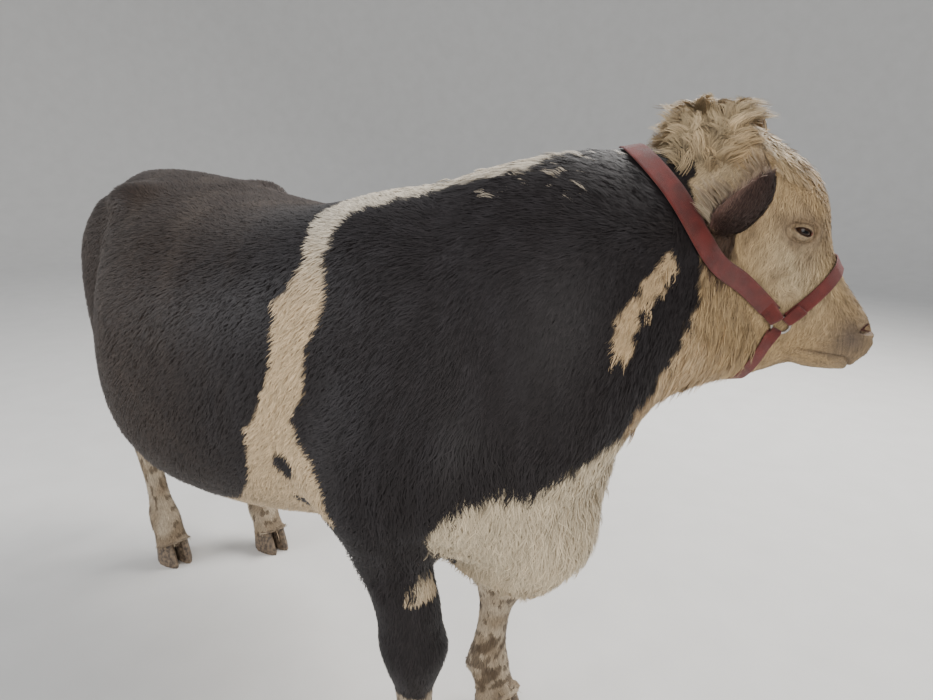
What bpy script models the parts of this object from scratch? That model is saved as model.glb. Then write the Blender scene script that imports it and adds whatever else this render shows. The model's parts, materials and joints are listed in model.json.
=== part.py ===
"""A Simmental bull in life size, standing square, with its head turned to its left.

The flesh is modelled whole, as one skin over lofted masses, and is then parted with
thin cuts into head, neck, torso and legs. Claws, ears, eyes, tail and the pieces of
the halter are made on their own and meet the flesh face to face. In the drawing
frame +X is forward, +Y is the animal's left, +Z is up and the ground is z = 0.
"""
import math

import bmesh
import bpy
import numpy as np
from mathutils import Matrix, Vector
from mathutils.bvhtree import BVHTree

# Driving dimensions, in metres
WITHERS_HEIGHT = 1.35
GAP = 0.0003
VOXEL = 0.010
FLESH_TRIANGLES = 9000
FINE_SHARE = 0.01

# Trunk, from the buttocks (low x) to the chest (high x)
BACK_LINE = ((-1.02, 1.20), (-0.97, 1.300), (-0.88, 1.345), (-0.70, 1.352), (-0.50, 1.335), (-0.26, 1.302),
             (0.02, 1.286), (0.28, 1.315), (0.46, WITHERS_HEIGHT), (0.64, 1.335), (0.80, 1.20), (0.90, 1.02))
BELLY_LINE = ((-1.02, 1.06), (-0.93, 0.88), (-0.80, 0.76), (-0.62, 0.64), (-0.44, 0.535), (-0.24, 0.490),
              (-0.02, 0.50), (0.18, 0.535), (0.38, 0.59), (0.60, 0.62), (0.78, 0.64), (0.90, 0.76))
HALF_WIDTH = ((-1.02, 0.05), (-0.96, 0.12), (-0.86, 0.20), (-0.70, 0.27), (-0.54, 0.345), (-0.38, 0.415),
              (-0.22, 0.455), (-0.02, 0.445), (0.20, 0.402), (0.42, 0.345), (0.62, 0.28), (0.78, 0.22),
              (0.90, 0.12))
WIDEST_LINE = ((-1.02, 1.12), (-0.80, 1.07), (-0.50, 0.93), (-0.20, 0.875), (0.10, 0.91), (0.50, 0.96),
               (0.90, 0.90))

# Muscles and bones that show through the hide of the trunk. Those of a side are given for the left.
# Each row: name, centre, half sizes, and tilt about the crossways axis in degrees
SIDE_MASSES = (("shoulder blade", (0.52, 0.165, 1.06), (0.14, 0.12, 0.27), -18),
               ("point of shoulder", (0.715, 0.185, 0.87), (0.12, 0.100, 0.15), 0),
               ("triceps", (0.50, 0.245, 0.83), (0.15, 0.09, 0.15), 0),
               ("hook bone", (-0.55, 0.190, 1.255), (0.13, 0.095, 0.075), 0),
               ("pin bone", (-0.945, 0.100, 1.205), (0.075, 0.060, 0.080), 0),
               ("thurl", (-0.76, 0.185, 1.13), (0.13, 0.09, 0.13), 0),
               ("scrotum", (-0.60, 0.024, 0.625), (0.052, 0.036, 0.115), 0))
MIDDLE_MASSES = (("sheath", (-0.18, 0.0, 0.505), (0.17, 0.045, 0.055)),
                 ("tail head", (-0.935, 0.0, 1.305), (0.095, 0.055, 0.050)),
                 ("brisket", (0.785, 0.0, 0.735), (0.140, 0.125, 0.150)),
                 ("brisket keel", (0.685, 0.0, 0.632), (0.19, 0.105, 0.105)))

# Neck: its crest and its underline, each from the shoulders to the head
NECK_CREST = ((0.0, 0.40, 0.0, 1.32), (0.22, 0.60, 0.035, 1.382), (0.45, 0.72, 0.105, 1.412),
              (0.70, 0.81, 0.195, 1.422), (0.90, 0.885, 0.285, 1.420), (1.0, 0.935, 0.345, 1.405))
NECK_UNDER = ((0.0, 0.62, 0.0, 0.66), (0.22, 0.83, 0.0, 0.72), (0.45, 0.925, 0.025, 0.86),
              (0.70, 0.947, 0.118, 0.965), (0.90, 0.965, 0.256, 0.995), (1.0, 0.979, 0.358, 1.01))
NECK_HALF_WIDTH = ((0.0, 0.22), (0.22, 0.225), (0.45, 0.190), (0.70, 0.138), (0.90, 0.104), (1.0, 0.090))

# Limbs, upwards: height, x, distance from the midline, half length and half width
FORE_LIMB = ((0.055, 0.652, 0.160, 0.050, 0.058), (0.10, 0.632, 0.160, 0.043, 0.052),
             (0.13, 0.617, 0.160, 0.052, 0.056), (0.155, 0.611, 0.160, 0.052, 0.052),
             (0.20, 0.612, 0.160, 0.043, 0.042), (0.32, 0.614, 0.165, 0.044, 0.042),
             (0.37, 0.618, 0.168, 0.060, 0.058), (0.42, 0.618, 0.168, 0.074, 0.070),
             (0.48, 0.610, 0.172, 0.074, 0.066), (0.55, 0.600, 0.180, 0.088, 0.073),
             (0.64, 0.572, 0.198, 0.105, 0.078), (0.74, 0.560, 0.222, 0.155, 0.100),
             (0.86, 0.575, 0.228, 0.195, 0.105), (0.98, 0.550, 0.215, 0.180, 0.098),
             (1.12, 0.500, 0.180, 0.145, 0.085), (1.24, 0.470, 0.120, 0.10, 0.07))
HIND_LIMB = ((0.055, -0.715, 0.145, 0.050, 0.056), (0.10, -0.737, 0.146, 0.042, 0.050),
             (0.13, -0.753, 0.147, 0.051, 0.054), (0.16, -0.763, 0.148, 0.051, 0.050),
             (0.22, -0.780, 0.150, 0.041, 0.037), (0.34, -0.805, 0.156, 0.043, 0.037),
             (0.44, -0.826, 0.161, 0.056, 0.046), (0.50, -0.838, 0.165, 0.070, 0.054),
             (0.55, -0.830, 0.170, 0.080, 0.052), (0.61, -0.785, 0.178, 0.088, 0.056),
             (0.69, -0.722, 0.192, 0.145, 0.086), (0.78, -0.685, 0.194, 0.205, 0.108),
             (0.89, -0.705, 0.180, 0.248, 0.126), (1.00, -0.742, 0.160, 0.264, 0.138),
             (1.15, -0.760, 0.138, 0.245, 0.138), (1.27, -0.740, 0.105, 0.200, 0.115))
# Bumps on a leg. Each: height, offset from the leg's middle, and half sizes
DEWCLAW = (0.115, (-0.052, 0.024, 0.004), (0.019, 0.017, 0.026))
KNEE = (0.43, (0.018, 0.0, 0.0), (0.050, 0.056, 0.065))
POINT_OF_HOCK = (0.545, (-0.052, 0.0, 0.018), (0.026, 0.024, 0.062))
LEFT_HIND_STEP = 0.165
LEFT_FORE_STEP = -0.085
STEP_TOP = 0.95

# Where the legs are parted from the trunk: outlines seen from the side (x, z)
FORE_CUT = ((0.385, -0.10), (0.385, 0.60), (0.44, 0.72), (0.80, 0.575), (0.80, -0.10))
HIND_CUT = ((-1.10, -0.10), (-1.10, 0.85), (-0.56, 0.80), (-0.40, -0.10))
FORE_CUT_INNER = 0.078
HIND_CUT_INNER = 0.074
CUT_OUTER = 0.45

# Head: the place of its poll, its turn to the left and its slope to the ground
POLL = Vector((0.958, 0.345, 1.463))
HEAD_TURN = math.radians(36.0)
HEAD_SLOPE = math.radians(58.0)
FACE_LINE = ((-0.045, -0.060), (0.0, 0.004), (0.05, 0.040), (0.11, 0.066), (0.155, 0.077), (0.20, 0.072),
             (0.26, 0.050), (0.33, 0.040), (0.40, 0.045), (0.44, 0.048), (0.475, 0.034), (0.505, -0.012))
JAW_LINE = ((-0.045, -0.10), (0.0, -0.17), (0.10, -0.205), (0.20, -0.200), (0.30, -0.174), (0.38, -0.153),
            (0.44, -0.118), (0.475, -0.086), (0.505, -0.044))
HEAD_HALF_WIDTH = ((-0.045, 0.05), (0.0, 0.090), (0.05, 0.108), (0.12, 0.114), (0.20, 0.108), (0.28, 0.087),
                   (0.35, 0.072), (0.42, 0.069), (0.465, 0.063), (0.49, 0.046), (0.505, 0.028))
# Masses of the head, in its own axes: along the face, to its left, and out of the forehead
HEAD_SIDE_MASSES = (("orbit", (0.200, 0.078, -0.004), (0.045, 0.036, 0.040)),
                    ("brow bone", (0.172, 0.066, 0.022), (0.050, 0.040, 0.034)),
                    ("cheek", (0.190, 0.062, -0.120), (0.100, 0.046, 0.076)),
                    ("wing of nose", (0.450, 0.038, -0.002), (0.042, 0.033, 0.040)),
                    ("upper lip", (0.430, 0.044, -0.046), (0.052, 0.031, 0.038)),
                    ("root of jaw", (0.060, 0.070, -0.095), (0.060, 0.045, 0.055)))
HEAD_MIDDLE_MASSES = (("chin", (0.442, 0.0, -0.080), (0.038, 0.044, 0.029)),
                      ("nose pad", (0.470, 0.0, 0.006), (0.036, 0.036, 0.040)),
                      ("nape", (0.020, 0.0, -0.030), (0.050, 0.070, 0.050)))
# Loose skin of the throat, from the chin back: share of the way, place, half width and half height
THROAT = ((0.0, 1.055, 0.420, 1.060, 0.038, 0.048), (0.35, 1.000, 0.373, 1.080, 0.062, 0.092),
          (0.70, 0.953, 0.277, 1.100, 0.088, 0.116), (1.0, 0.920, 0.145, 1.110, 0.110, 0.140))
THROAT_WAY = Vector((0.12, 0.27, 0.02)).normalized()
# The face keeps its fine forms within this reach of its middle, and blends out beyond it
FACE_MIDDLE = (0.26, 0.0, -0.03)
FACE_REACH = 0.40
FACE_BLEND = 0.14
# Over this height a leg blends into the trunk, and below it it keeps its bones
LEG_BLEND = (0.44, 0.60)
EYE_PLACE = (0.203, 0.0905, -0.008)
EYE_RADIUS = 0.0195
LID_OPENING = (0.0170, 0.0078)
LID_RIM = 0.0045
# Thickness of the upper and of the lower lid
LIDS = ((1, 0.0052), (-1, 0.0042))
EYE_SEGMENTS = 16
EYE_LINE = (0.72, 0.0, 0.69)
EYE_OUT = (0.10, 1.0, 0.12)
# A nostril from its mouth inwards: share of the way, offset along, across and out, and radius
NOSTRIL_PLACE = (0.454, 0.057, 0.020)
NOSTRIL_PATH = ((0.0, 0.0, 0.0, 0.0, 0.0125), (0.5, -0.012, 0.004, 0.004, 0.0100),
                (1.0, -0.026, 0.014, 0.014, 0.0030))
# Line of the mouth: its corner, its front, how steeply it rises and where it levels out
MOUTH_CORNER = (0.412, 0.085, -0.100)
MOUTH_FRONT = 0.520
MOUTH_RISE = 0.95
MOUTH_TOP = -0.038
MOUTH_MIDDLE = 0.36
MOUTH_DEPTH = 0.0075
MOUTH_WIDTH = 0.0094
MOUTH_OUTSIDE = 0.012
POLL_CORE = Vector((0.925, 0.320, 1.432))
POLL_CORE_SIZE = (0.085, 0.078, 0.060)
EAR_BASE_SIZE = (0.037, 0.037, 0.070)
EAR_ROOT = (0.134, 0.124, -0.146)
EAR_AXIS = (-0.50, 0.74, 0.45)
EAR_OPENS = (-0.832, -0.517, -0.201)
EAR_LENGTH = 0.146
EAR_HALF_WIDTH = ((0.0, 0.027), (0.25, 0.041), (0.55, 0.055), (0.80, 0.044), (0.93, 0.027), (1.0, 0.010))
EAR_DEPTH = ((0.0, 0.027), (0.25, 0.041), (0.55, 0.042), (0.80, 0.026), (1.0, 0.006))
EAR_LEAN = 0.018
EAR_SKIN = 0.0055
EAR_CUP_STARTS = 0.22
EAR_SEAT = 0.040
EAR_SEAT_RADIUS = 0.034
EAR_SEAT_DEPTH = 0.08

# Planes that part head from neck and neck from torso: normals, and reach from the origin
HEAD_CUT_NORMAL = Vector((math.cos(math.radians(38)), math.sin(math.radians(38)), 0.0))
HEAD_CUT_REACH = 0.835
NECK_CUT_NORMAL = Vector((0.851, 0.0, 0.525)).normalized()
NECK_CUT_REACH = 1.2286

# Claws
CLAW_HALF_LENGTH = 0.043
CLAW_HALF_WIDTH = 0.0235
CLAW_REACH = 0.030
CLAW_FLARE = (0.010, 0.003)
CLAW_BEVEL = 0.0025
CLAW_CLEFT = 0.0045
CLAW_TOES_IN = 0.005
CLAW_RINGS = (0.0, 0.12, 0.5, 1.0)
CORONET_HEIGHT = 0.066
CORONET_NORMAL = Vector((-0.36, 0.0, 1.0)).normalized()

# Tail, hanging clear behind the buttocks
TAIL_ROOT = Vector((-1.013, 0.0, 1.291))
TAIL_PATH = ((0.0, -1.013, 0.0, 1.291), (0.10, -1.050, 0.0, 1.235), (0.30, -1.070, 0.0, 1.06),
             (0.60, -1.075, 0.0, 0.74), (1.0, -1.062, 0.0, 0.34))
TAIL_RADIUS = ((0.0, 0.038), (0.10, 0.034), (0.30, 0.026), (0.60, 0.018), (0.75, 0.024), (0.86, 0.020),
               (0.94, 0.006))
TAIL_END = 0.94
TAIL_CUT_NORMAL = Vector((-0.80, 0.0, -0.60))

# Long hair, as flat tapered locks laid over the poll. Each row: height angle of its roots,
# number, sweep towards the crest, height of the tips over the skin, and width
POLL_CREST = (0.10, 0.0, 0.99)
POLL_ROWS = ((-8, 10, 42, 0.022, 0.056), (20, 8, 46, 0.030, 0.054), (50, 6, 50, 0.024, 0.044))
POLL_CUT_CLEAR = 0.006
POLL_STRAY = math.radians(26)
POLL_VARIES = 0.25
POLL_LOCK_DEPTH = 0.010
# Curls down the brow. Each row: place along the face, number, length and width
BROW_ROWS = ((0.0, 5, 0.064, 0.030), (0.046, 4, 0.062, 0.030), (0.090, 3, 0.054, 0.028))
BROW_HALF_WIDTH = 0.056
BROW_CENTRE = (0.06, 0.0, -0.10)
BROW_LOCK_DEPTH = 0.009
BROW_SPREAD = 0.35
BROW_CURL = 0.010
SWITCH_ROWS = ((0.60, 5, 0.17, 0.026), (0.72, 5, 0.19, 0.030), (0.82, 4, 0.17, 0.026))
# Long hairs in an ear. Each pair: share of the way to the ear's tip, and length
FRINGE_ROWS = ((0.36, 0.040), (0.48, 0.058), (0.60, 0.062), (0.73, 0.050))
FRINGE_SIZE = (0.022, 0.0035)
FRINGE_BEND = (0.35, 0.2)
SWITCH_DEPTH = 0.010
SWITCH_SWAY = 0.06
LOCK_PARTS = (0.0, 0.22, 0.52, 0.82, 1.0)
LOCK_WIDTHS = (0.62, 1.0, 0.94, 0.56, 0.07)
LOCK_DEPTHS = (1.0, 1.0, 0.85, 0.52, 0.12)
LOCK_SINK = 0.006

# Halter
RING_PLACE = (0.350, 0.067, -0.104)
NOSE_CENTRE = 0.045
CROWN_CENTRE = 0.55
NOSE_BRIDGE = 0.315
CHIN_PLACE = 0.385
CROWN_PLACE = (0.828, 0.217, 1.405)
STRAP_THICKNESS = 0.004
STRAP_LIFT = 0.0022
STRAP_ROWS = 3
STRAP_PROBES = 4
CROWN_WIDTH = 0.034
EAR_DETOUR = ((0.0, 0.0), (0.30, 0.0), (0.60, 0.022), (0.82, 0.008), (1.0, 0.0))
NOSE_WIDTH = 0.025
RING_RADIUS = 0.016
RING_WIRE = 0.003
RING_CLEAR = RING_RADIUS + RING_WIRE + 0.002

COLOURS = {
    "black coat": ((0.020, 0.015, 0.013), 0.62, 0.0),
    "cream coat": ((0.62, 0.50, 0.35), 0.75, 0.0),
    "dirty leg": ((0.42, 0.34, 0.25), 0.80, 0.0),
    "claw horn": ((0.16, 0.125, 0.095), 0.45, 0.0),
    "ear": ((0.075, 0.045, 0.035), 0.75, 0.0),
    "eye": ((0.012, 0.008, 0.006), 0.08, 0.0),
    "webbing": ((0.33, 0.035, 0.028), 0.70, 0.0),
    "ring metal": ((0.45, 0.43, 0.40), 0.35, 0.9),
}


def clear_scene():
    """Remove whatever objects the scene holds."""
    for item in list(bpy.data.objects):
        bpy.data.objects.remove(item, do_unlink=True)


def new_collection(name):
    """Make a collection in the scene."""
    made = bpy.data.collections.new(name)
    bpy.context.scene.collection.children.link(made)
    return made


def new_material(name):
    """Make one Principled finish from its colour, roughness and metallic values."""
    colour, roughness, metallic = COLOURS[name]
    made = bpy.data.materials.new(name)
    made.use_nodes = True
    shader = made.node_tree.nodes["Principled BSDF"]
    shader.inputs["Base Color"].default_value = (*colour, 1.0)
    shader.inputs["Roughness"].default_value = roughness
    shader.inputs["Metallic"].default_value = metallic
    return made


def read_line(keys, places):
    """Read a smooth line, given as (place, values) keys, at the given places."""
    table = np.array(keys, dtype=float)
    stops = table[:, 0]
    values = table[:, 1:]
    slope = np.diff(values, axis=0) / np.diff(stops)[:, None]
    tangent = np.vstack((slope[:1], (slope[:-1] + slope[1:]) / 2, slope[-1:]))
    places = np.atleast_1d(places)
    low = np.clip(np.searchsorted(stops, places) - 1, 0, len(stops) - 2)
    span = (stops[low + 1] - stops[low])[:, None]
    part = (places - stops[low])[:, None] / span
    rest = 1 - part
    start = values[low] * (1 + 2 * part) * rest ** 2 + tangent[low] * span * part * rest ** 2
    end = values[low + 1] * (3 - 2 * part) * part ** 2 - tangent[low + 1] * span * part ** 2 * rest
    return start + end


def section(centre, side, up, half_width, above, below, power=2.2, count=28):
    """One ring round a centre: a rounded oval with unlike heights above and below."""
    points = []
    for step in range(count):
        angle = 2 * math.pi * step / count
        across = math.copysign(abs(math.cos(angle)) ** (2 / power), math.cos(angle))
        lift = math.copysign(abs(math.sin(angle)) ** (2 / power), math.sin(angle))
        height = above if lift > 0 else below
        points.append(Vector(centre) + Vector(side) * (across * half_width) + Vector(up) * (lift * height))
    return points


def loft(name, rings, collection):
    """Join rings of equal count into one closed body with flat ends."""
    bm = bmesh.new()
    rows = [[bm.verts.new(point) for point in ring] for ring in rings]
    for lower, upper in zip(rows, rows[1:]):
        for step in range(len(lower)):
            after = (step + 1) % len(lower)
            bm.faces.new((lower[step], lower[after], upper[after], upper[step]))
    bm.faces.new(rows[0])
    bm.faces.new(rows[-1])
    bmesh.ops.recalc_face_normals(bm, faces=bm.faces)
    return add_mesh(name, bm, collection)


def add_mesh(name, bm, collection):
    """Turn a bmesh into an object of the collection."""
    mesh = bpy.data.meshes.new(name)
    bm.to_mesh(mesh)
    bm.free()
    made = bpy.data.objects.new(name, mesh)
    collection.objects.link(made)
    return made


def add_ball(name, collection, place, radii, turn=None, segments=20):
    """A ball or egg-shaped mass from a sphere, with its size baked into the mesh."""
    bm = bmesh.new()
    bmesh.ops.create_uvsphere(bm, u_segments=segments, v_segments=segments // 2, radius=1.0)
    bmesh.ops.scale(bm, vec=radii, verts=bm.verts)
    matrix = Matrix.Translation(place) @ (turn.to_4x4() if turn else Matrix.Identity(4))
    bmesh.ops.transform(bm, matrix=matrix, verts=bm.verts)
    return add_mesh(name, bm, collection)


def add_block(name, collection, matrix, size):
    """A cutter: a box of the given size whose centre and turn come from a matrix."""
    bm = bmesh.new()
    bmesh.ops.create_cube(bm, size=1.0)
    bmesh.ops.scale(bm, vec=size, verts=bm.verts)
    bmesh.ops.transform(bm, matrix=matrix, verts=bm.verts)
    made = add_mesh(name, bm, collection)
    made.hide_render = True
    made.display_type = "WIRE"
    return made


def applied_mesh(item):
    """The item's mesh with its modifiers applied, as new data."""
    bpy.context.view_layer.update()
    graph = bpy.context.evaluated_depsgraph_get()
    return bpy.data.meshes.new_from_object(item.evaluated_get(graph))


def apply_modifiers(item):
    """Replace the item's mesh by its modified shape."""
    made = applied_mesh(item)
    item.modifiers.clear()
    item.data = made


def largest_surface(item):
    """Keep only the item's largest closed surface, in triangles."""
    bm = bmesh.new()
    bm.from_mesh(item.data)
    bmesh.ops.remove_doubles(bm, verts=bm.verts, dist=0.000005)
    bmesh.ops.triangulate(bm, faces=bm.faces)
    bm.faces.ensure_lookup_table()
    unseen = set(bm.faces)
    islands = []
    while unseen:
        stack = [unseen.pop()]
        island = list(stack)
        while stack:
            for edge in stack.pop().edges:
                for face in edge.link_faces:
                    if face in unseen:
                        unseen.remove(face)
                        stack.append(face)
                        island.append(face)
        islands.append(island)
    islands.sort(key=lambda island: sum(face.calc_area() for face in island))
    for island in islands[:-1]:
        bmesh.ops.delete(bm, geom=island, context="FACES")
    loose = [vert for vert in bm.verts if not vert.link_faces]
    bmesh.ops.delete(bm, geom=loose, context="VERTS")
    bm.to_mesh(item.data)
    bm.free()


def carve(item, cutter, operation="DIFFERENCE", solver="EXACT"):
    """Cut the item with, or keep it inside, one closed cutter."""
    change = item.modifiers.new("carve", "BOOLEAN")
    change.operation = operation
    change.object = cutter
    change.solver = solver
    apply_modifiers(item)
    largest_surface(item)


def fuse(item, pieces, solver="EXACT"):
    """Join closed pieces to the item with one union, then drop them."""
    group = bpy.data.collections.new(item.name + " pieces")
    for piece in pieces:
        group.objects.link(piece)
    change = item.modifiers.new("fuse", "BOOLEAN")
    change.operation = "UNION"
    change.operand_type = "COLLECTION"
    change.collection = group
    change.solver = solver
    apply_modifiers(item)
    for piece in pieces:
        bpy.data.objects.remove(piece, do_unlink=True)
    bpy.data.collections.remove(group)
    largest_surface(item)


def head_frame():
    """The head's own axes: along the face, to its left, and out of the forehead."""
    flat = math.cos(HEAD_SLOPE)
    forward = Vector((math.cos(HEAD_TURN) * flat, math.sin(HEAD_TURN) * flat, -math.sin(HEAD_SLOPE)))
    left = Vector((-math.sin(HEAD_TURN), math.cos(HEAD_TURN), 0.0))
    out = forward.cross(left)
    turn = Matrix((forward, left, out)).transposed()
    return Matrix.Translation(POLL) @ turn.to_4x4()


HEAD = head_frame()


def on_head(place, side=1):
    """A place on the head from its own axes, on the left (1) or the right (-1) side."""
    along, across, out = place
    return HEAD @ Vector((along, across * side, out))


def head_way(way, side=1):
    """A direction in the head's own axes, as a unit vector."""
    along, across, out = way
    return (HEAD.to_3x3() @ Vector((along, across * side, out))).normalized()


def trunk(collection):
    """The barrel of the body, from buttocks to chest."""
    places = np.linspace(BACK_LINE[0][0], BACK_LINE[-1][0], 44)
    back = read_line(BACK_LINE, places)[:, 0]
    belly = read_line(BELLY_LINE, places)[:, 0]
    width = read_line(HALF_WIDTH, places)[:, 0]
    middle = read_line(WIDEST_LINE, places)[:, 0]
    rings = []
    for x, top, low, half, centre in zip(places, back, belly, width, middle):
        rings.append(section((x, 0, centre), (0, 1, 0), (0, 0, 1), half, top - centre, centre - low, 2.35))
    return loft("trunk", rings, collection)


def neck_mass(collection):
    """The neck, bending from the shoulders to the head."""
    places = np.linspace(0, 1, 22)
    crest = read_line(NECK_CREST, places)
    under = read_line(NECK_UNDER, places)
    width = read_line(NECK_HALF_WIDTH, places)[:, 0]
    middle = (crest + under) / 2
    ways = np.gradient(middle, axis=0)
    rings = []
    for top, low, centre, way, half in zip(crest, under, middle, ways, width):
        up = Vector(top) - Vector(low)
        side = up.cross(Vector(way)).normalized()
        reach = up.length / 2
        rings.append(section(centre, side, up.normalized(), half, reach, reach, 2.1))
    return loft("neck mass", rings, collection)


def ramp(value, start, end):
    """0 before start, 1 after end, and evenly between them."""
    return min(max((value - start) / (end - start), 0.0), 1.0)


def limb_shift(height, step):
    """How far a limb that stands forward or back of square is moved at a height."""
    part = ramp(height, STEP_TOP, 0.0)
    return step * part * part * (3 - 2 * part)


def limb(name, keys, side, step, collection):
    """One leg, from the hip or shoulder blade down to the coronet."""
    heights = np.linspace(keys[0][0], keys[-1][0], 46)
    rings = []
    for height, row in zip(heights, read_line(keys, heights)):
        x, across, half_length, half_width = row
        centre = (x + limb_shift(height, step), across * side, height)
        rings.append(section(centre, (1, 0, 0), (0, 1, 0), half_length, half_width, half_width, 2.15, 20))
    return loft(name, rings, collection)


def leg_place(keys, height, side, step):
    """The middle of a leg at a height."""
    x, across, _, _ = read_line(keys, height)[0]
    return Vector((x + limb_shift(height, step), across * side, height))


def leg_bumps(collection, side, fore):
    """Dewclaws, knee or hock, and the joint below, on one leg."""
    keys = FORE_LIMB if fore else HIND_LIMB
    step = leg_step(side, fore)
    bumps = []
    for bump, across in ((DEWCLAW, -1), (DEWCLAW, 1), (KNEE if fore else POINT_OF_HOCK, 0)):
        height, offset, size = bump
        shift = Vector((offset[0], offset[1] * across, offset[2]))
        bumps.append(add_ball("leg bump", collection, leg_place(keys, height, side, step) + shift, size))
    return bumps


def leg_step(side, fore):
    """How far forward of square a leg stands: only the left legs do."""
    if side < 0:
        return 0.0
    return LEFT_FORE_STEP if fore else LEFT_HIND_STEP


def body_masses(collection):
    """Muscles and bones that show through the skin of the trunk."""
    masses = []
    for name, (x, across, z), size, tilt in SIDE_MASSES:
        for side in (-1, 1):
            turn = Matrix.Rotation(math.radians(tilt), 3, "Y")
            masses.append(add_ball(name, collection, (x, across * side, z), size, turn))
    for name, place, size in MIDDLE_MASSES:
        masses.append(add_ball(name, collection, place, size))
    return masses


def head_masses(collection):
    """Skull, cheeks, orbits, muzzle, chin and throat."""
    places = np.linspace(FACE_LINE[0][0], FACE_LINE[-1][0], 34)
    face = read_line(FACE_LINE, places)[:, 0]
    jaw = read_line(JAW_LINE, places)[:, 0]
    width = read_line(HEAD_HALF_WIDTH, places)[:, 0]
    rings = []
    for along, top, low, half in zip(places, face, jaw, width):
        middle = low + (top - low) * 0.55
        ring = section((along, 0, middle), (0, 1, 0), (0, 0, 1), half, top - middle, middle - low, 2.25)
        rings.append([HEAD @ point for point in ring])
    masses = [loft("skull", rings, collection)]
    turn = HEAD.to_3x3()
    for name, place, size in HEAD_SIDE_MASSES:
        for side in (-1, 1):
            masses.append(add_ball(name, collection, on_head(place, side), size, turn))
    for name, place, size in HEAD_MIDDLE_MASSES:
        masses.append(add_ball(name, collection, on_head(place), size, turn))
    level = Matrix.Rotation(HEAD_TURN, 3, "Z")
    masses.append(add_ball("poll hair core", collection, POLL_CORE, POLL_CORE_SIZE, level))
    for side in (-1, 1):
        root = on_head(EAR_ROOT, side)
        way = head_way(EAR_AXIS, side)
        tall = way.to_track_quat("Z", "Y").to_matrix()
        masses.append(add_ball("ear base", collection, root, EAR_BASE_SIZE, tall))
    return masses


def throat_mass(collection):
    """The loose skin of the throat, from the chin back to the underline of the neck."""
    side = Vector((0, 0, 1)).cross(THROAT_WAY).normalized()
    up = THROAT_WAY.cross(side)
    rings = []
    for row in read_line(THROAT, np.linspace(0, 1, 12)):
        rings.append(section(row[:3], side, up, row[3], row[4], row[4], 2.0, 20))
    return loft("throat", rings, collection)


def head_share(place):
    """1 on the face, 0 on the neck and body, and a smooth change between."""
    reach = (Vector(place) - on_head(FACE_MIDDLE)).length
    return ramp(reach, FACE_REACH, FACE_REACH - FACE_BLEND)


def body_share(place):
    """1 on the trunk, neck and thighs, 0 on the face and the lower legs."""
    return ramp(place[2], *LEG_BLEND) * (1 - head_share(place))


def whole_flesh(collection):
    """One closed skin over all the masses."""
    pieces = [trunk(collection), neck_mass(collection), throat_mass(collection)]
    pieces += body_masses(collection)
    pieces += head_masses(collection)
    for side in (-1, 1):
        pieces.append(limb("fore limb", FORE_LIMB, side, leg_step(side, True), collection))
        pieces.append(limb("hind limb", HIND_LIMB, side, leg_step(side, False), collection))
        pieces += leg_bumps(collection, side, True)
        pieces += leg_bumps(collection, side, False)
    bm = bmesh.new()
    for piece in pieces:
        bm.from_mesh(piece.data)
    for piece in pieces:
        bpy.data.objects.remove(piece, do_unlink=True)
    flesh = add_mesh("flesh", bm, collection)
    skin = flesh.modifiers.new("skin", "REMESH")
    skin.mode = "VOXEL"
    skin.voxel_size = VOXEL
    apply_modifiers(flesh)
    largest_surface(flesh)
    soften(flesh)
    thin_out(flesh)
    return flesh


def soften(flesh):
    """Blend the masses into one another: well on the body, a little on face and legs."""
    for name, share, passes in (("body", body_share, 70), ("all", lambda place: 1.0, 5)):
        group = flesh.vertex_groups.new(name=name)
        for vert in flesh.data.vertices:
            group.add([vert.index], share(vert.co), "REPLACE")
        smooth = flesh.modifiers.new(name, "SMOOTH")
        smooth.factor = 0.6
        smooth.iterations = passes
        smooth.vertex_group = group.name
    apply_modifiers(flesh)


def thin_out(flesh):
    """Spend the triangles where the form is fine, on the face and then the feet."""
    flesh.vertex_groups.clear()
    group = flesh.vertex_groups.new(name="plain")
    for vert in flesh.data.vertices:
        weight = 1.0 - 0.75 * head_share(vert.co) - 0.25 * (vert.co.z < 0.5)
        group.add([vert.index], weight, "REPLACE")
    thin = flesh.modifiers.new("thin", "DECIMATE")
    thin.ratio = FLESH_TRIANGLES / (2 * len(flesh.data.polygons))
    thin.vertex_group = group.name
    thin.vertex_group_factor = FINE_SHARE
    apply_modifiers(flesh)
    largest_surface(flesh)


def plane_block(name, point, normal, collection, size=4.0):
    """A large block that fills the half space beyond a plane."""
    normal = Vector(normal).normalized()
    turn = normal.to_track_quat("Z", "Y").to_matrix().to_4x4()
    centre = Vector(point) + normal * (size / 2)
    return add_block(name, collection, Matrix.Translation(centre) @ turn, (size, size, size))


def split(item, name, cutter_of, collection):
    """Part a piece off: the new node keeps the inside of the cutter, the item the rest.

    cutter_of(grow) gives the cutter, grown by that much past its own faces."""
    piece = bpy.data.objects.new(name, item.data.copy())
    collection.objects.link(piece)
    inner = cutter_of(0.0)
    outer = cutter_of(GAP)
    carve(piece, inner, "INTERSECT")
    carve(item, outer, "DIFFERENCE")
    bpy.data.objects.remove(inner, do_unlink=True)
    bpy.data.objects.remove(outer, do_unlink=True)
    return piece


def head_cutter(grow):
    """Everything in front of the plane behind the ears."""
    place = HEAD_CUT_NORMAL * (HEAD_CUT_REACH - grow)
    return plane_block("head cutter", place, HEAD_CUT_NORMAL, CUTTERS, 3.0)


def neck_cutter(grow):
    """Everything in front of the plane along the shoulders."""
    place = NECK_CUT_NORMAL * (NECK_CUT_REACH - grow)
    return plane_block("neck cutter", place, NECK_CUT_NORMAL, CUTTERS, 3.0)


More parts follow.
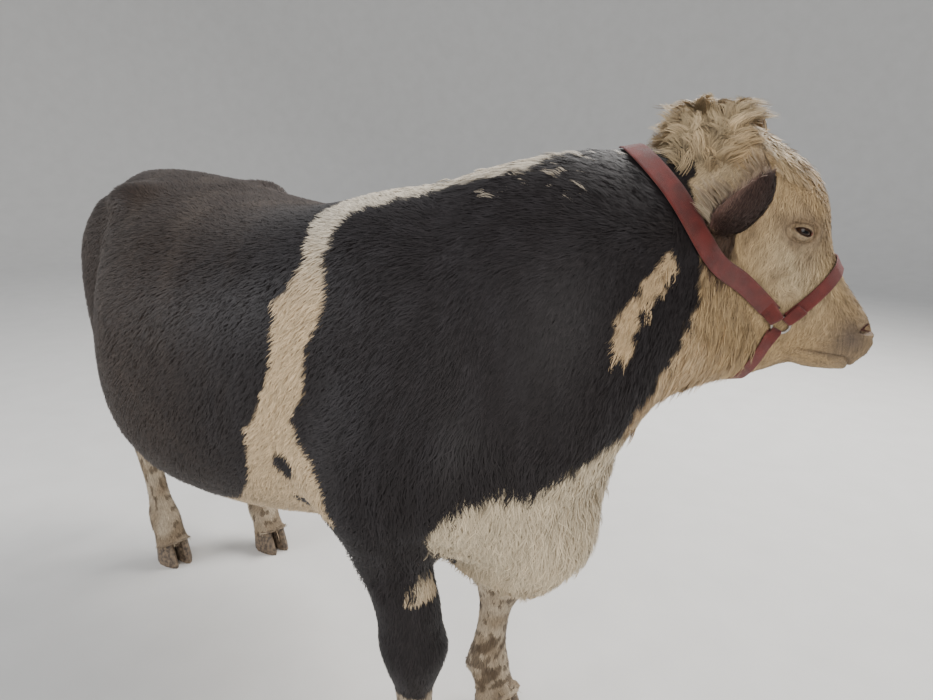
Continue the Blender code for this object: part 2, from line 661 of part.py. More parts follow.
def grown_outline(outline, grow):
    """A convex outline, drawn clockwise or not, with every edge moved out by grow."""
    middle = sum((Vector(point) for point in outline), Vector((0, 0))) / len(outline)
    grown = []
    for index, point in enumerate(outline):
        point = Vector(point)
        normals = []
        for other in (Vector(outline[index - 1]), Vector(outline[(index + 1) % len(outline)])):
            edge = (other - point).normalized()
            normal = Vector((-edge.y, edge.x))
            if normal.dot(middle - point) > 0:
                normal = -normal
            normals.append(normal)
        grown.append(point + (normals[0] + normals[1]) * grow / (1 + normals[0].dot(normals[1])))
    return grown


def leg_cutter(side, fore):
    """A block round one leg: an outline seen from the side, drawn out from near the midline."""
    outline = FORE_CUT if fore else HIND_CUT
    inner = FORE_CUT_INNER if fore else HIND_CUT_INNER

    def make(grow):
        rings = []
        for across in (inner - grow, CUT_OUTER):
            rings.append([Vector((x, side * across, z)) for x, z in grown_outline(outline, grow)])
        return loft("leg cutter", rings, CUTTERS)
    return make


def coronet_place(keys, side, step):
    """Where the slanted plane between leg and claws crosses the middle of the leg."""
    return leg_place(keys, CORONET_HEIGHT, side, step)


def trim_leg(leg, keys, side, step):
    """End the leg in a slanted face above its two claws."""
    place = coronet_place(keys, side, step)
    cutter = plane_block("coronet cutter", place, -CORONET_NORMAL, CUTTERS, 1.0)
    carve(leg, cutter)
    bpy.data.objects.remove(cutter, do_unlink=True)


def claw(name, keys, side, step, across, collection):
    """One claw of a cloven hoof: flat sole, sloping wall, and a top under the coronet."""
    place = coronet_place(keys, side, step)
    slope = -CORONET_NORMAL.x / CORONET_NORMAL.z
    rings = []
    for part in CLAW_RINGS:
        flare = 1 - part
        ring = []
        for index in range(12):
            angle = 2 * math.pi * index / 12
            along = math.cos(angle)
            toe = max(along, 0.0)
            x = (CLAW_HALF_LENGTH + CLAW_FLARE[0] * flare) * along
            x += CLAW_REACH * flare * (0.30 + 0.70 * toe)
            y = (CLAW_HALF_WIDTH + CLAW_FLARE[1] * flare) * math.sin(angle) * (1 - 0.35 * toe ** 2)
            top = place.z - GAP / CORONET_NORMAL.z + x * slope
            edge = CLAW_BEVEL if part > 0 else 0.0
            x -= math.copysign(CLAW_BEVEL, along) * (part == 0.0)
            ring.append((x, y - CLAW_TOES_IN * across * toe, max(top * part, edge)))
        rings.append(ring)
    made = loft(name, rings, collection)
    made.location = (place.x, place.y + across * (CLAW_HALF_WIDTH + CLAW_CLEFT), 0.0)
    return made


def ear(name, side, collection):
    """A cupped ear: a full round root that opens into a leaf-shaped cup."""
    stations = 11
    half = 9
    rings = []
    for step in range(stations):
        part = step / (stations - 1)
        width = read_line(EAR_HALF_WIDTH, part)[0, 0]
        depth = read_line(EAR_DEPTH, part)[0, 0]
        hollow = min(part / EAR_CUP_STARTS, 1.0)
        front = depth * (1 - hollow) - (depth - EAR_SKIN) * hollow
        ring = []
        for index in range(half):
            angle = -math.pi / 2 + math.pi * index / (half - 1)
            ring.append((-depth * math.cos(angle), width * math.sin(angle)))
        for index in range(1, half - 1):
            angle = math.pi / 2 - math.pi * index / (half - 1)
            reach = width - EAR_SKIN * 0.6 * hollow
            ring.append((front * math.cos(angle), reach * math.sin(angle)))
        lean = EAR_LEAN * part ** 2
        rings.append([Vector((part * EAR_LENGTH, y, x - lean)) for x, y in ring])
    axis = head_way(EAR_AXIS, side)
    opens = head_way(EAR_OPENS, side)
    opens = (opens - axis * opens.dot(axis)).normalized()
    across = opens.cross(axis)
    turn = Matrix((axis, across, opens)).transposed().to_4x4()
    place = Matrix.Translation(on_head(EAR_ROOT, side) + axis * (EAR_SEAT + GAP)) @ turn
    made = loft(name, [[place @ point for point in ring] for ring in rings], collection)
    fuse(made, fringe_locks(place, collection))
    return made


def ear_seat_cutter(side):
    """A round block that ends the ear's base on the head in a flat face."""
    axis = head_way(EAR_AXIS, side)
    centre = on_head(EAR_ROOT, side)
    across = axis.orthogonal().normalized()
    rings = []
    for reach in (EAR_SEAT, EAR_SEAT + EAR_SEAT_DEPTH):
        rings.append(section(centre + axis * reach, across, axis.cross(across),
                             EAR_SEAT_RADIUS, EAR_SEAT_RADIUS, EAR_SEAT_RADIUS, 2.0))
    return loft("ear seat cutter", rings, CUTTERS)


def eye_axes(side):
    """The eye's own axes: from its rear to its front corner, up the brow, and outwards."""
    out = head_way(EYE_OUT, side)
    along = head_way(EYE_LINE)
    along = (along - out * along.dot(out)).normalized()
    return along, along.cross(out) * side, out


def eye_cutters(side):
    """The almond opening between the lids, and the round socket behind it."""
    centre = on_head(EYE_PLACE, side)
    along, up, out = eye_axes(side)
    turn = Matrix((along, up, out)).transposed()
    bm = bmesh.new()
    bmesh.ops.create_uvsphere(bm, u_segments=16, v_segments=10, radius=EYE_RADIUS + 2 * GAP)
    bmesh.ops.transform(bm, matrix=Matrix.Translation(centre), verts=bm.verts)
    socket = add_mesh("socket", bm, CUTTERS)
    rings = []
    for reach in (0.004, 0.075):
        ring = []
        for index in range(16):
            angle = 2 * math.pi * index / 16
            lid = math.sin(angle)
            point = Vector((LID_OPENING[0] * math.cos(angle), LID_OPENING[1] * lid * abs(lid) ** 0.3, reach))
            ring.append(centre + turn @ point)
        rings.append(ring)
    opening = loft("opening", rings, CUTTERS)
    return opening, socket


def lid_rims(side, collection):
    """An upper and a lower lid as raised rims round the almond opening."""
    centre = on_head(EYE_PLACE, side)
    along, up, out = eye_axes(side)
    pieces = [add_ball("lid pad", collection, centre, (EYE_RADIUS + LID_RIM,) * 3, None, 24)]
    for lid, bulge in LIDS:
        rings = []
        for step in range(9):
            part = step / 8
            angle = math.pi * (0.04 + 0.92 * part)
            across = -math.cos(angle) * (LID_OPENING[0] + LID_RIM)
            height = math.sin(angle) * (LID_OPENING[1] + LID_RIM) * lid
            flat = math.hypot(across, height)
            deep = math.sqrt(max((EYE_RADIUS + LID_RIM) ** 2 - flat ** 2, 0.00001))
            size = bulge * (0.45 + 0.55 * math.sin(angle))
            middle = centre + along * across + up * height + out * deep
            way = (along * math.sin(angle) + up * lid * math.cos(angle)).normalized()
            side_way = (middle - centre).normalized()
            rings.append(section(middle, way.cross(side_way), side_way, size, size, size, 2.0, 6))
        pieces.append(loft("lid", rings, collection))
    return pieces


def nostril_cutter(side):
    """A comma-shaped pit in the side of the nose pad."""
    balls = []
    for along, across, out, size in read_line(NOSTRIL_PATH, np.linspace(0, 1, 7)):
        place = on_head(Vector(NOSTRIL_PLACE) + Vector((along, across, out)), side)
        balls.append(add_ball("nostril", CUTTERS, place, (size, size, size), None, 10))
    first = balls[0]
    fuse(first, balls[1:])
    return first


def mouth_cutter(surface):
    """A shallow groove for the line of the mouth, round the front of the muzzle."""
    corner_along, corner_across, corner_out = MOUTH_CORNER
    tall = head_way((0.30, 0, 1.0)) * MOUTH_WIDTH
    count = 25
    rings = []
    for step in range(count):
        turn = -1 + 2 * step / (count - 1)
        swing = math.radians(90) * turn
        along = corner_along + (MOUTH_FRONT - corner_along) * math.cos(swing) ** 0.8
        out = min(corner_out + MOUTH_RISE * (along - corner_along), MOUTH_TOP)
        middle = Vector((MOUTH_MIDDLE, 0, out))
        target = Vector((along, corner_across * math.sin(swing), out))
        origin = HEAD @ (middle + (target - middle) * 2.5)
        way = (HEAD @ middle - origin).normalized()
        hit = surface.ray_cast(origin, way)[0]
        outside = hit - way * MOUTH_OUTSIDE
        inside = hit + way * MOUTH_DEPTH * (1 - 0.55 * abs(turn) ** 3)
        rings.append([inside, outside + tall, outside - tall])
    return loft("mouth groove", rings, CUTTERS)


def body_surface(items):
    """A search tree over the finished flesh nodes, to lay the halter on."""
    bm = bmesh.new()
    for item in items:
        bm.from_mesh(item.data)
    tree = BVHTree.FromBMesh(bm)
    bm.free()
    return tree


def band(name, surface, centre, normal, start, angles, width, collection, detour=None):
    """A strap laid round the head or neck in a plane, pulled taut just clear of the skin.

    A detour, as (share of the way, distance) keys, leads it sideways out of the plane."""
    normal = Vector(normal).normalized()
    start = (start - normal * start.dot(normal)).normalized()
    turn_way = normal.cross(start)
    count = max(int(abs(angles[1] - angles[0]) / math.radians(10)), 6)
    parts = np.linspace(0, 1, count * STRAP_PROBES + 1)
    turns = angles[0] + (angles[1] - angles[0]) * parts
    ways = [start * math.cos(turn) + turn_way * math.sin(turn) for turn in turns]
    aside = read_line(detour, parts)[:, 0] if detour else parts * 0.0
    reach = []
    for way, off in zip(ways, aside):
        far = []
        for shift in np.linspace(-width / 2, width / 2, 2 * STRAP_ROWS - 1):
            hit = surface.ray_cast(centre + normal * (shift + off) + way * 0.6, -way)[0]
            far.append((hit - centre).dot(way))
        reach.append(far)
    reach = pulled_taut(np.array(reach))
    rings = []
    for station in range(0, len(parts), STRAP_PROBES):
        way = ways[station]
        near = reach[max(station - STRAP_PROBES // 2, 0):station + STRAP_PROBES // 2 + 1].max(axis=0)
        inner = []
        for row in range(STRAP_ROWS):
            shift = width * (row / (STRAP_ROWS - 1) - 0.5) + aside[station]
            far = near[max(2 * row - 1, 0):2 * row + 2].max()
            inner.append(centre + normal * shift + way * (far + STRAP_LIFT))
        outer = [point + way * STRAP_THICKNESS for point in inner]
        rings.append(inner + outer[::-1])
    return loft(name, rings, collection)


def pulled_taut(reach):
    """Let a strap bridge the hollows that it crosses, without dipping under the skin."""
    taut = reach.copy()
    for _ in range(12):
        padded = np.vstack((taut[:1], taut, taut[-1:]))
        level = (padded[:-2] + padded[2:]) / 2
        taut = np.maximum(reach, level * 0.5 + taut * 0.5)
    return taut


def lock(middles, outs, width, depth, collection):
    """One flat lock of hair along its middle line, with a wide root and a fine tip."""
    rings = []
    for index, (middle, out) in enumerate(zip(middles, outs)):
        before = middles[max(index - 1, 0)]
        after = middles[min(index + 1, len(middles) - 1)]
        along = (after - before).normalized()
        side = along.cross(out).normalized()
        up = side.cross(along)
        half_width = side * (width * LOCK_WIDTHS[index] / 2)
        half_depth = up * (depth * LOCK_DEPTHS[index] / 2)
        rings.append([middle - half_width, middle - half_depth, middle + half_width, middle + half_depth])
    return loft("lock", rings, collection)


def hanging_lock(root, way, out, length, width, depth, sway, collection):
    """A lock that leaves its root in one direction and drifts aside towards its tip."""
    across = way.cross(out).normalized()
    middles = []
    for part in LOCK_PARTS:
        middles.append(root + (way * part + across * (sway * part * part)) * length)
    return lock(middles, [out] * len(middles), width, depth, collection)


def laid_lock(surface, centre, aims, rise, width, depth, collection):
    """A lock combed over the skin: its root is sunk, and it lifts off towards its tip."""
    middles = []
    outs = []
    for part, aim in zip(LOCK_PARTS, aims):
        hit, normal, _, _ = surface.ray_cast(centre + aim * 0.4, -aim)
        out = (normal + aim).normalized()
        middles.append(hit + out * (rise * part ** 1.4 - LOCK_SINK * max(1 - part / 0.30, 0.0)))
        outs.append(out)
    return lock(middles, outs, width, depth, collection)


def poll_locks(surface, collection):
    """The tuft on the poll, combed up from the nape and the sides towards its crest."""
    forward = Vector((math.cos(HEAD_TURN), math.sin(HEAD_TURN), 0.0))
    left = Vector((-forward.y, forward.x, 0.0))
    crest = (forward * POLL_CREST[0] + Vector((0, 0, POLL_CREST[2]))).normalized()
    locks = []
    for row, (height, count, sweep, rise, width) in enumerate(POLL_ROWS):
        for index in range(count):
            turn = 2 * math.pi * (index + 0.5 * (row % 2)) / count
            tilt = math.radians(height)
            start = (forward * math.cos(turn) + left * math.sin(turn)) * math.cos(tilt)
            start += Vector((0, 0, math.sin(tilt)))
            hit = surface.ray_cast(POLL_CORE + start * 0.4, -start)[0]
            if HEAD_CUT_NORMAL.dot(hit) < HEAD_CUT_REACH + POLL_CUT_CLEAR:
                continue
            aside = Matrix.Rotation(POLL_STRAY * math.sin(2.4 * index + row), 3, start)
            goal = aside @ (crest - start * crest.dot(start)).normalized()
            reach = math.radians(sweep * (1 + POLL_VARIES * math.sin(1.7 * index + 2 * row)))
            aims = [start * math.cos(reach * part) + goal * math.sin(reach * part) for part in LOCK_PARTS]
            locks.append(laid_lock(surface, POLL_CORE, aims, rise, width, POLL_LOCK_DEPTH, collection))
    return locks


def brow_locks(surface, collection):
    """Curls that lie down the forehead below the poll."""
    locks = []
    centre = on_head(BROW_CENTRE)
    for row, (along, count, length, width) in enumerate(BROW_ROWS):
        for index in range(count):
            across = BROW_HALF_WIDTH * (2 * index / (count - 1) - 1)
            curl = BROW_CURL * math.sin(2.1 * index + 1.3 * row)
            aims = []
            for part in LOCK_PARTS:
                aside = across * (1 + BROW_SPREAD * part) + curl * part * part
                aims.append((on_head((along + length * part, aside, 0.05)) - centre).normalized())
            locks.append(laid_lock(surface, centre, aims, 0.009, width, BROW_LOCK_DEPTH, collection))
    return locks


def fringe_locks(turn, collection):
    """Long hairs that stand out of an ear's rim, from the ear's own axes."""
    locks = []
    spin = turn.to_3x3()
    width, depth = FRINGE_SIZE
    for part, length in FRINGE_ROWS:
        half = read_line(EAR_HALF_WIDTH, part)[0, 0]
        for edge in (-1, 1):
            root = Vector((part * EAR_LENGTH, edge * (half - 0.0045), -EAR_LEAN * part ** 2 - 0.012))
            way = spin @ Vector((0.16, edge * 0.10, 0.98)).normalized()
            out = spin @ Vector((0.0, edge, 0.0))
            bend = edge * (FRINGE_BEND[0] + FRINGE_BEND[1] * math.sin(9 * part))
            locks.append(hanging_lock(turn @ root, way, out, length, width, depth, bend, collection))
    return locks


def switch_locks(collection):
    """The switch: rows of long locks that hang round the end of the tail."""
    locks = []
    for row, (place, count, length, width) in enumerate(SWITCH_ROWS):
        middle = Vector(read_line(TAIL_PATH, place)[0])
        radius = read_line(TAIL_RADIUS, place)[0, 0]
        for index in range(count):
            turn = 2 * math.pi * (index + 0.5 * row) / count
            out = Vector((math.cos(turn), math.sin(turn), 0.0))
            way = (Vector((0.02, 0, -1)) + out * 0.12).normalized()
            out = (out - way * out.dot(way)).normalized()
            size = length * (1 + 0.10 * math.sin(2.2 * index + row))
            root = middle + out * (radius - LOCK_SINK / 2)
            sway = SWITCH_SWAY * math.sin(3 * index)
            locks.append(hanging_lock(root, way, out, size, width, SWITCH_DEPTH, sway, collection))
    return locks


def tail(name, collection):
    """The tail as one tube along its bend, thicker inside its switch."""
    places = np.linspace(0, TAIL_END, 15)
    path = read_line(TAIL_PATH, places)
    radius = read_line(TAIL_RADIUS, places)[:, 0]
    ways = np.gradient(path, axis=0)
    ways[0] = TAIL_CUT_NORMAL
    rings = []
    for point, way, size in zip(path, ways, radius):
        side = Vector((0, 1, 0))
        up = Vector(way).normalized().cross(side)
        start = Vector(TAIL_CUT_NORMAL) * GAP
        rings.append(section(Vector(point) + start, side, up, size, size, size, 2.0, 10))
    return loft(name, rings, collection)


def tail_cutter():
    """The half space behind the tail head, which ends in a flat face."""
    turn = Vector(TAIL_CUT_NORMAL).to_track_quat("Z", "Y").to_matrix().to_4x4()
    centre = TAIL_ROOT + Vector(TAIL_CUT_NORMAL) * 0.05
    return add_block("tail cutter", CUTTERS, Matrix.Translation(centre) @ turn, (0.10, 0.10, 0.10))


def cut(item, cutters):
    """Carve each cutter out of the item and drop it."""
    for cutter in cutters:
        carve(item, cutter)
        bpy.data.objects.remove(cutter, do_unlink=True)


def ring(name, side, surface, collection):
    """The metal ring that joins the straps on one cheek, lying on the skin."""
    origin = on_head((RING_PLACE[0], 0.30, RING_PLACE[2]), side)
    way = head_way((0, -1, 0), side)
    hit, normal, _, _ = surface.ray_cast(origin, way)
    bpy.ops.mesh.primitive_torus_add(major_radius=RING_RADIUS, minor_radius=RING_WIRE,
                                     major_segments=14, minor_segments=6)
    made = bpy.context.object
    made.name = name
    for owner in list(made.users_collection):
        owner.objects.unlink(made)
    collection.objects.link(made)
    turn = normal.to_track_quat("Z", "Y").to_matrix().to_4x4()
    made.matrix_world = Matrix.Translation(hit + normal * (RING_WIRE + 0.004)) @ turn
    return made


def halter(surface, collection):
    """Crown strap, noseband, chin strap and two rings, laid on the head and neck."""
    made = {}
    middle = on_head((RING_PLACE[0], 0.0, RING_PLACE[2]))
    across = RING_PLACE[1]
    for side, word in ((-1, "right"), (1, "left")):
        made["halter_ring_" + word] = ring("halter_ring_" + word, side, surface, collection)
    bridge = on_head((NOSE_BRIDGE, 0, 0.02))
    chin = on_head((CHIN_PLACE, 0, -0.16))
    left = head_way((0, 1, 0))
    for name, target in (("halter_noseband", bridge), ("halter_chin_strap", chin)):
        reach = (target - middle).normalized()
        normal = left.cross(reach).normalized()
        centre = middle + reach * NOSE_CENTRE
        gap = math.atan2(across, -NOSE_CENTRE) - RING_CLEAR / math.hypot(across, NOSE_CENTRE)
        made[name] = band(name, surface, centre, normal, reach, (-gap, gap), NOSE_WIDTH, collection)
    crown = Vector(CROWN_PLACE)
    reach = (crown - middle).normalized()
    normal = left.cross(reach).normalized()
    length = (crown - middle).length * CROWN_CENTRE
    centre = middle + reach * length
    back = -1 if normal.dot(head_way((0, 0, 1))) > 0 else 1
    detour = [(part, aside * back) for part, aside in EAR_DETOUR]
    gap = math.pi - math.atan2(across, length) - RING_CLEAR / math.hypot(across, length)
    for side, word in ((-1, "right"), (1, "left")):
        name = "halter_cheek_" + word
        angles = (0.012, gap) if side * normal.cross(reach).dot(left) > 0 else (-0.012, -gap)
        made[name] = band(name, surface, centre, normal, reach, angles, CROWN_WIDTH, collection, detour)
    return made


def finish_part(item, name, material, root):
    """Name the node, give it its finish and hang it on the root."""
    item.name = name
    item.data.name = name
    item.data.materials.clear()
    item.data.materials.append(material)
    item.data.shade_smooth()
    item.data.set_sharp_from_angle(angle=math.radians(40))
    item.parent = root


def stand_on_origin(root, parts):
    """Move the root so that the middle of the whole box's floor is the origin."""
    bpy.context.view_layer.update()
    corners = np.array([tuple(item.matrix_world @ vert.co) for item in parts for vert in item.data.vertices])
    low = corners.min(axis=0)
    high = corners.max(axis=0)
    root.location = (-(low[0] + high[0]) / 2, -(low[1] + high[1]) / 2, -low[2])


def main():
    """Build the animal and stand it on the origin."""
    parts = new_collection("simmental_bull")
    nodes = {}
    torso = whole_flesh(parts)
    for fore, keys, word in ((True, FORE_LIMB, "front"), (False, HIND_LIMB, "hind")):
        for side, hand in ((-1, "right"), (1, "left")):
            name = "leg_%s_%s" % (word, hand)
            nodes[name] = split(torso, name, leg_cutter(side, fore), parts)
            step = leg_step(side, fore)
            trim_leg(nodes[name], keys, side, step)
            for across, place in ((-1, "right"), (1, "left")):
                claw_name = "claw_%s_%s_%s" % (word, hand, place)
                nodes[claw_name] = claw(claw_name, keys, side, step, across, parts)
    cut(torso, [tail_cutter()])
    nodes["head"] = split(torso, "head", head_cutter, parts)
    nodes["neck"] = split(torso, "neck", neck_cutter, parts)
    nodes["torso"] = torso
    nodes["tail"] = tail("tail", parts)
    fuse(nodes["tail"], switch_locks(parts))
    head = nodes["head"]
    for side, hand in ((-1, "right"), (1, "left")):
        cut(head, [ear_seat_cutter(side)])
        nodes["ear_" + hand] = ear("ear_" + hand, side, parts)
    surface = body_surface([head, nodes["neck"]])
    for side, hand in ((-1, "right"), (1, "left")):
        fuse(head, lid_rims(side, parts))
        cut(head, eye_cutters(side))
        nodes["eye_" + hand] = add_ball("eye_" + hand, parts, on_head(EYE_PLACE, side), (EYE_RADIUS,) * 3,
                                        None, EYE_SEGMENTS)
        cut(head, [nostril_cutter(side)])
    cut(head, [mouth_cutter(surface)])
    fuse(head, poll_locks(surface, parts) + brow_locks(surface, parts))
    nodes.update(halter(surface, parts))
    finishes = {word: new_material(word) for word in COLOURS}
    root = bpy.data.objects.new("bull", None)
    parts.objects.link(root)
    for name, item in nodes.items():
        finish_part(item, name, finishes[finish_of(name)], root)
    stand_on_origin(root, list(nodes.values()))


def finish_of(name):
    """Which finish a node has."""
    if name.startswith("claw"):
        return "claw horn"
    if name.startswith("halter_ring"):
        return "ring metal"
    if name.startswith("halter"):
        return "webbing"
    if name.startswith("ear"):
        return "ear"
    if name.startswith("eye"):
        return "eye"
    if name in ("head", "tail"):
        return "cream coat"
    if name.startswith("leg") and name != "leg_front_right":
        return "dirty leg"
    return "black coat"


clear_scene()
CUTTERS = new_collection("cutters")
main()
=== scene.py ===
# %% [markdown]
# A Simmental bull in life size, with its halter.
#
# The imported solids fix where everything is. This script dresses them: one skin, a coat
# of many small tufts, wet eyes, horn claws and a webbing halter. Lengths are in metres.
# Shapes are drawn in the animal's own frame, +X forward, +Y to its left, ground z = 0,
# and are then moved onto the solids.

# %% Load the solids
import json
import math

import bmesh
import bpy
import numpy as np
from mathutils import Matrix, Vector
from mathutils.bvhtree import BVHTree

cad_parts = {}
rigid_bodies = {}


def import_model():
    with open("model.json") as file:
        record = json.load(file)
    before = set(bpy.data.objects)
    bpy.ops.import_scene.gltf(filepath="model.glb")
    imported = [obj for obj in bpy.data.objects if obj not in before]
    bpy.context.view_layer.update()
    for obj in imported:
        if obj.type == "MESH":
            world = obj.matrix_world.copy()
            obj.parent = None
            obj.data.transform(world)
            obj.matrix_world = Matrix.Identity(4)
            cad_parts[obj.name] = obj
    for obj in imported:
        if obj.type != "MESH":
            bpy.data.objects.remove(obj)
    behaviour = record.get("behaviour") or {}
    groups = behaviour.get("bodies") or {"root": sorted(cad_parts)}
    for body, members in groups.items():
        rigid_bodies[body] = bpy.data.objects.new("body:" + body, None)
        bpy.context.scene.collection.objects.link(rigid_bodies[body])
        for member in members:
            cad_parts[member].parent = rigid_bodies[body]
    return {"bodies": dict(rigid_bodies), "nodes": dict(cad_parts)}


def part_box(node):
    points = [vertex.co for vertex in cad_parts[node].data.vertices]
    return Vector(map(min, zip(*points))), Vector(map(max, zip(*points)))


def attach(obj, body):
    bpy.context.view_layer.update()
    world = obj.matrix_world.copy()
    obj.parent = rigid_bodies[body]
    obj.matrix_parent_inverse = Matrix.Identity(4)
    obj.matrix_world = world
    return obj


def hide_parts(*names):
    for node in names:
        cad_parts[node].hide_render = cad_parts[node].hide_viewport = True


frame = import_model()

KEPT = {item.name for item in frame["nodes"].values()} | {item.name for item in frame["bodies"].values()}
for item in list(bpy.context.scene.objects):
    if item.name not in KEPT:
        bpy.data.objects.remove(item)
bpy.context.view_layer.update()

# %% [markdown]
# The head sets the frame of its own parts: eyes, ears, nostrils and halter are all
# placed along the face, across it and out of the forehead. The head is turned to the
# animal's left and slopes to the ground. One eye, found in the solids, tells how far
# the whole animal was moved to stand on the origin.

# %% The head's axes, and the move onto the solids
HEAD_TURN = math.radians(36.0)
HEAD_SLOPE = math.radians(58.0)
POLL = Vector((0.958, 0.345, 1.463))
EYE_PLACE = (0.203, 0.0905, -0.008)
EYE_RADIUS = 0.0195
SIDES = ((-1, "right"), (1, "left"))


def head_frame():
    """The head's own axes: along the face, to its left, and out of the forehead."""
    flat = math.cos(HEAD_SLOPE)
    forward = Vector((math.cos(HEAD_TURN) * flat, math.sin(HEAD_TURN) * flat, -math.sin(HEAD_SLOPE)))
    left = Vector((-math.sin(HEAD_TURN), math.cos(HEAD_TURN), 0.0))
    turn = Matrix((forward, left, forward.cross(left))).transposed()
    return Matrix.Translation(POLL) @ turn.to_4x4()


HEAD = head_frame()
HEAD_AXES = np.array(HEAD.to_3x3())


def on_head(place, side=1):
    """A place on the head from its own axes, on the left (1) or the right (-1) side."""
    along, across, out = place
    return HEAD @ Vector((along, across * side, out))


def head_way(way, side=1):
    """A direction in the head's own axes, as a unit vector."""
    along, across, out = way
    return (HEAD.to_3x3() @ Vector((along, across * side, out))).normalized()


def in_head(points):
    """Points in the head's own axes, as rows of along, across and out."""
    return (np.asarray(points, dtype=float) - np.array(POLL)) @ HEAD_AXES


low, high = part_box("eye_right")
SHIFT = (low + high) / 2 - on_head(EYE_PLACE, -1)
print("shift onto the solids", [round(value, 5) for value in SHIFT])

# %% [markdown]
# The camera stands at the animal's right shoulder, a little higher than its back, and
# looks back along the body. Its place, aim and lens come from a fit of the body's
# outline. A wide lens so near makes the shoulder large and the rump small.

# %% Camera
FRAME_WIDTH = 933
LENS_PIXELS = 685.0
CAMERA_PLACE = Vector((1.536, -0.961, 1.404))
CAMERA_RIGHT = Vector((0.71, 0.704, 0.017)).normalized()
CAMERA_FORWARD = Vector((-0.674, 0.686, -0.272)).normalized()


def add_camera():
    """The camera, set from its place, its aim and its lens in pixels."""
    data = bpy.data.cameras.new("camera")
    data.sensor_width = 36.0
    data.lens = LENS_PIXELS * data.sensor_width / FRAME_WIDTH
    camera = bpy.data.objects.new("camera", data)
    bpy.context.scene.collection.objects.link(camera)
    up = CAMERA_RIGHT.cross(CAMERA_FORWARD).normalized()
    right = CAMERA_FORWARD.cross(up).normalized()
    turn = Matrix((right, up, -CAMERA_FORWARD)).transposed()
    camera.matrix_world = Matrix.Translation(CAMERA_PLACE + SHIFT) @ turn.to_4x4()
    bpy.context.scene.camera = camera
    return camera


print("lens", round(add_camera().data.lens, 2), "mm")

# %% [markdown]
# Every form starts as a line or a section. A line is given by a few keys and read
# smoothly between them, which keeps the number of values small. A section is a rounded
# oval, and a loft joins sections into a closed mass. Spheres, stretched and turned,
# stand for muscles and bones.

# %% Lines, sections and masses


def read_line(keys, places):
    """Read a smooth line, given as (place, values) keys, at the given places."""
    table = np.array(keys, dtype=float)
    stops = table[:, 0]
    values = table[:, 1:]
    slope = np.diff(values, axis=0) / np.diff(stops)[:, None]
    tangent = np.vstack((slope[:1], (slope[:-1] + slope[1:]) / 2, slope[-1:]))
    places = np.atleast_1d(places)
    low = np.clip(np.searchsorted(stops, places) - 1, 0, len(stops) - 2)
    span = (stops[low + 1] - stops[low])[:, None]
    part = (places - stops[low])[:, None] / span
    rest = 1 - part
    start = values[low] * (1 + 2 * part) * rest ** 2 + tangent[low] * span * part * rest ** 2
    end = values[low + 1] * (3 - 2 * part) * part ** 2 - tangent[low + 1] * span * part ** 2 * rest
    return start + end


def section(centre, side, up, half_width, above, below, power=2.2, count=36):
    """One ring round a centre: a rounded oval with unlike heights above and below."""
    points = []
    for step in range(count):
        angle = 2 * math.pi * step / count
        across = math.copysign(abs(math.cos(angle)) ** (2 / power), math.cos(angle))
        lift = math.copysign(abs(math.sin(angle)) ** (2 / power), math.sin(angle))
        height = above if lift > 0 else below
        points.append(Vector(centre) + Vector(side) * (across * half_width) + Vector(up) * (lift * height))
    return points


def add_loft(bm, rings, closed=True):
    """Join rings of equal count into one body, with flat ends if it is closed."""
    rows = [[bm.verts.new(point) for point in ring] for ring in rings]
    for lower, upper in zip(rows, rows[1:]):
        for step in range(len(lower)):
            after = (step + 1) % len(lower)
            bm.faces.new((lower[step], lower[after], upper[after], upper[step]))
    if closed:
        bm.faces.new(rows[0])
        bm.faces.new(rows[-1])


def add_ball(bm, place, radii, turn=None, segments=24):
    """A ball or egg-shaped mass."""
    made = bmesh.ops.create_uvsphere(bm, u_segments=segments, v_segments=segments // 2, radius=1.0)
    bmesh.ops.scale(bm, vec=radii, verts=made["verts"])
    matrix = Matrix.Translation(place) @ (turn.to_4x4() if turn else Matrix.Identity(4))
    bmesh.ops.transform(bm, matrix=matrix, verts=made["verts"])


def mesh_object(name, bm):
    """Turn a bmesh, drawn in the animal's frame, into an object of the scene."""
    mesh = bpy.data.meshes.new(name)
    bm.to_mesh(mesh)
    bm.free()
    made = bpy.data.objects.new(name, mesh)
    bpy.context.scene.collection.objects.link(made)
    return made


def applied(item):
    """Replace the item's mesh by its modified shape."""
    bpy.context.view_layer.update()
    graph = bpy.context.evaluated_depsgraph_get()
    mesh = bpy.data.meshes.new_from_object(item.evaluated_get(graph))
    item.modifiers.clear()
    item.data = mesh


# %% [markdown]
# The trunk is a barrel. Its back line, belly line and width are read along the body.
# The neck bends from the shoulders to the head between its crest and its underline,
# and each leg is a stack of ovals. These lines are the same as those of the solids, so
# the skin lies just inside them.

# %% Lines of the trunk, neck and legs
BACK_LINE = ((-1.02, 1.2), (-0.97, 1.3), (-0.88, 1.345), (-0.7, 1.352), (-0.5, 1.335), (-0.26, 1.302),
             (0.02, 1.286), (0.28, 1.315), (0.46, 1.35), (0.64, 1.335), (0.8, 1.2), (0.9, 1.02))
BELLY_LINE = ((-1.02, 1.06), (-0.93, 0.88), (-0.8, 0.76), (-0.62, 0.64), (-0.44, 0.535), (-0.24, 0.49),
              (-0.02, 0.5), (0.18, 0.535), (0.38, 0.59), (0.6, 0.62), (0.78, 0.64), (0.9, 0.76))
HALF_WIDTH = ((-1.02, 0.05), (-0.96, 0.12), (-0.86, 0.2), (-0.7, 0.27), (-0.54, 0.345), (-0.38, 0.415),
              (-0.22, 0.455), (-0.02, 0.445), (0.2, 0.402), (0.42, 0.345), (0.62, 0.28), (0.78, 0.22),
              (0.9, 0.12))
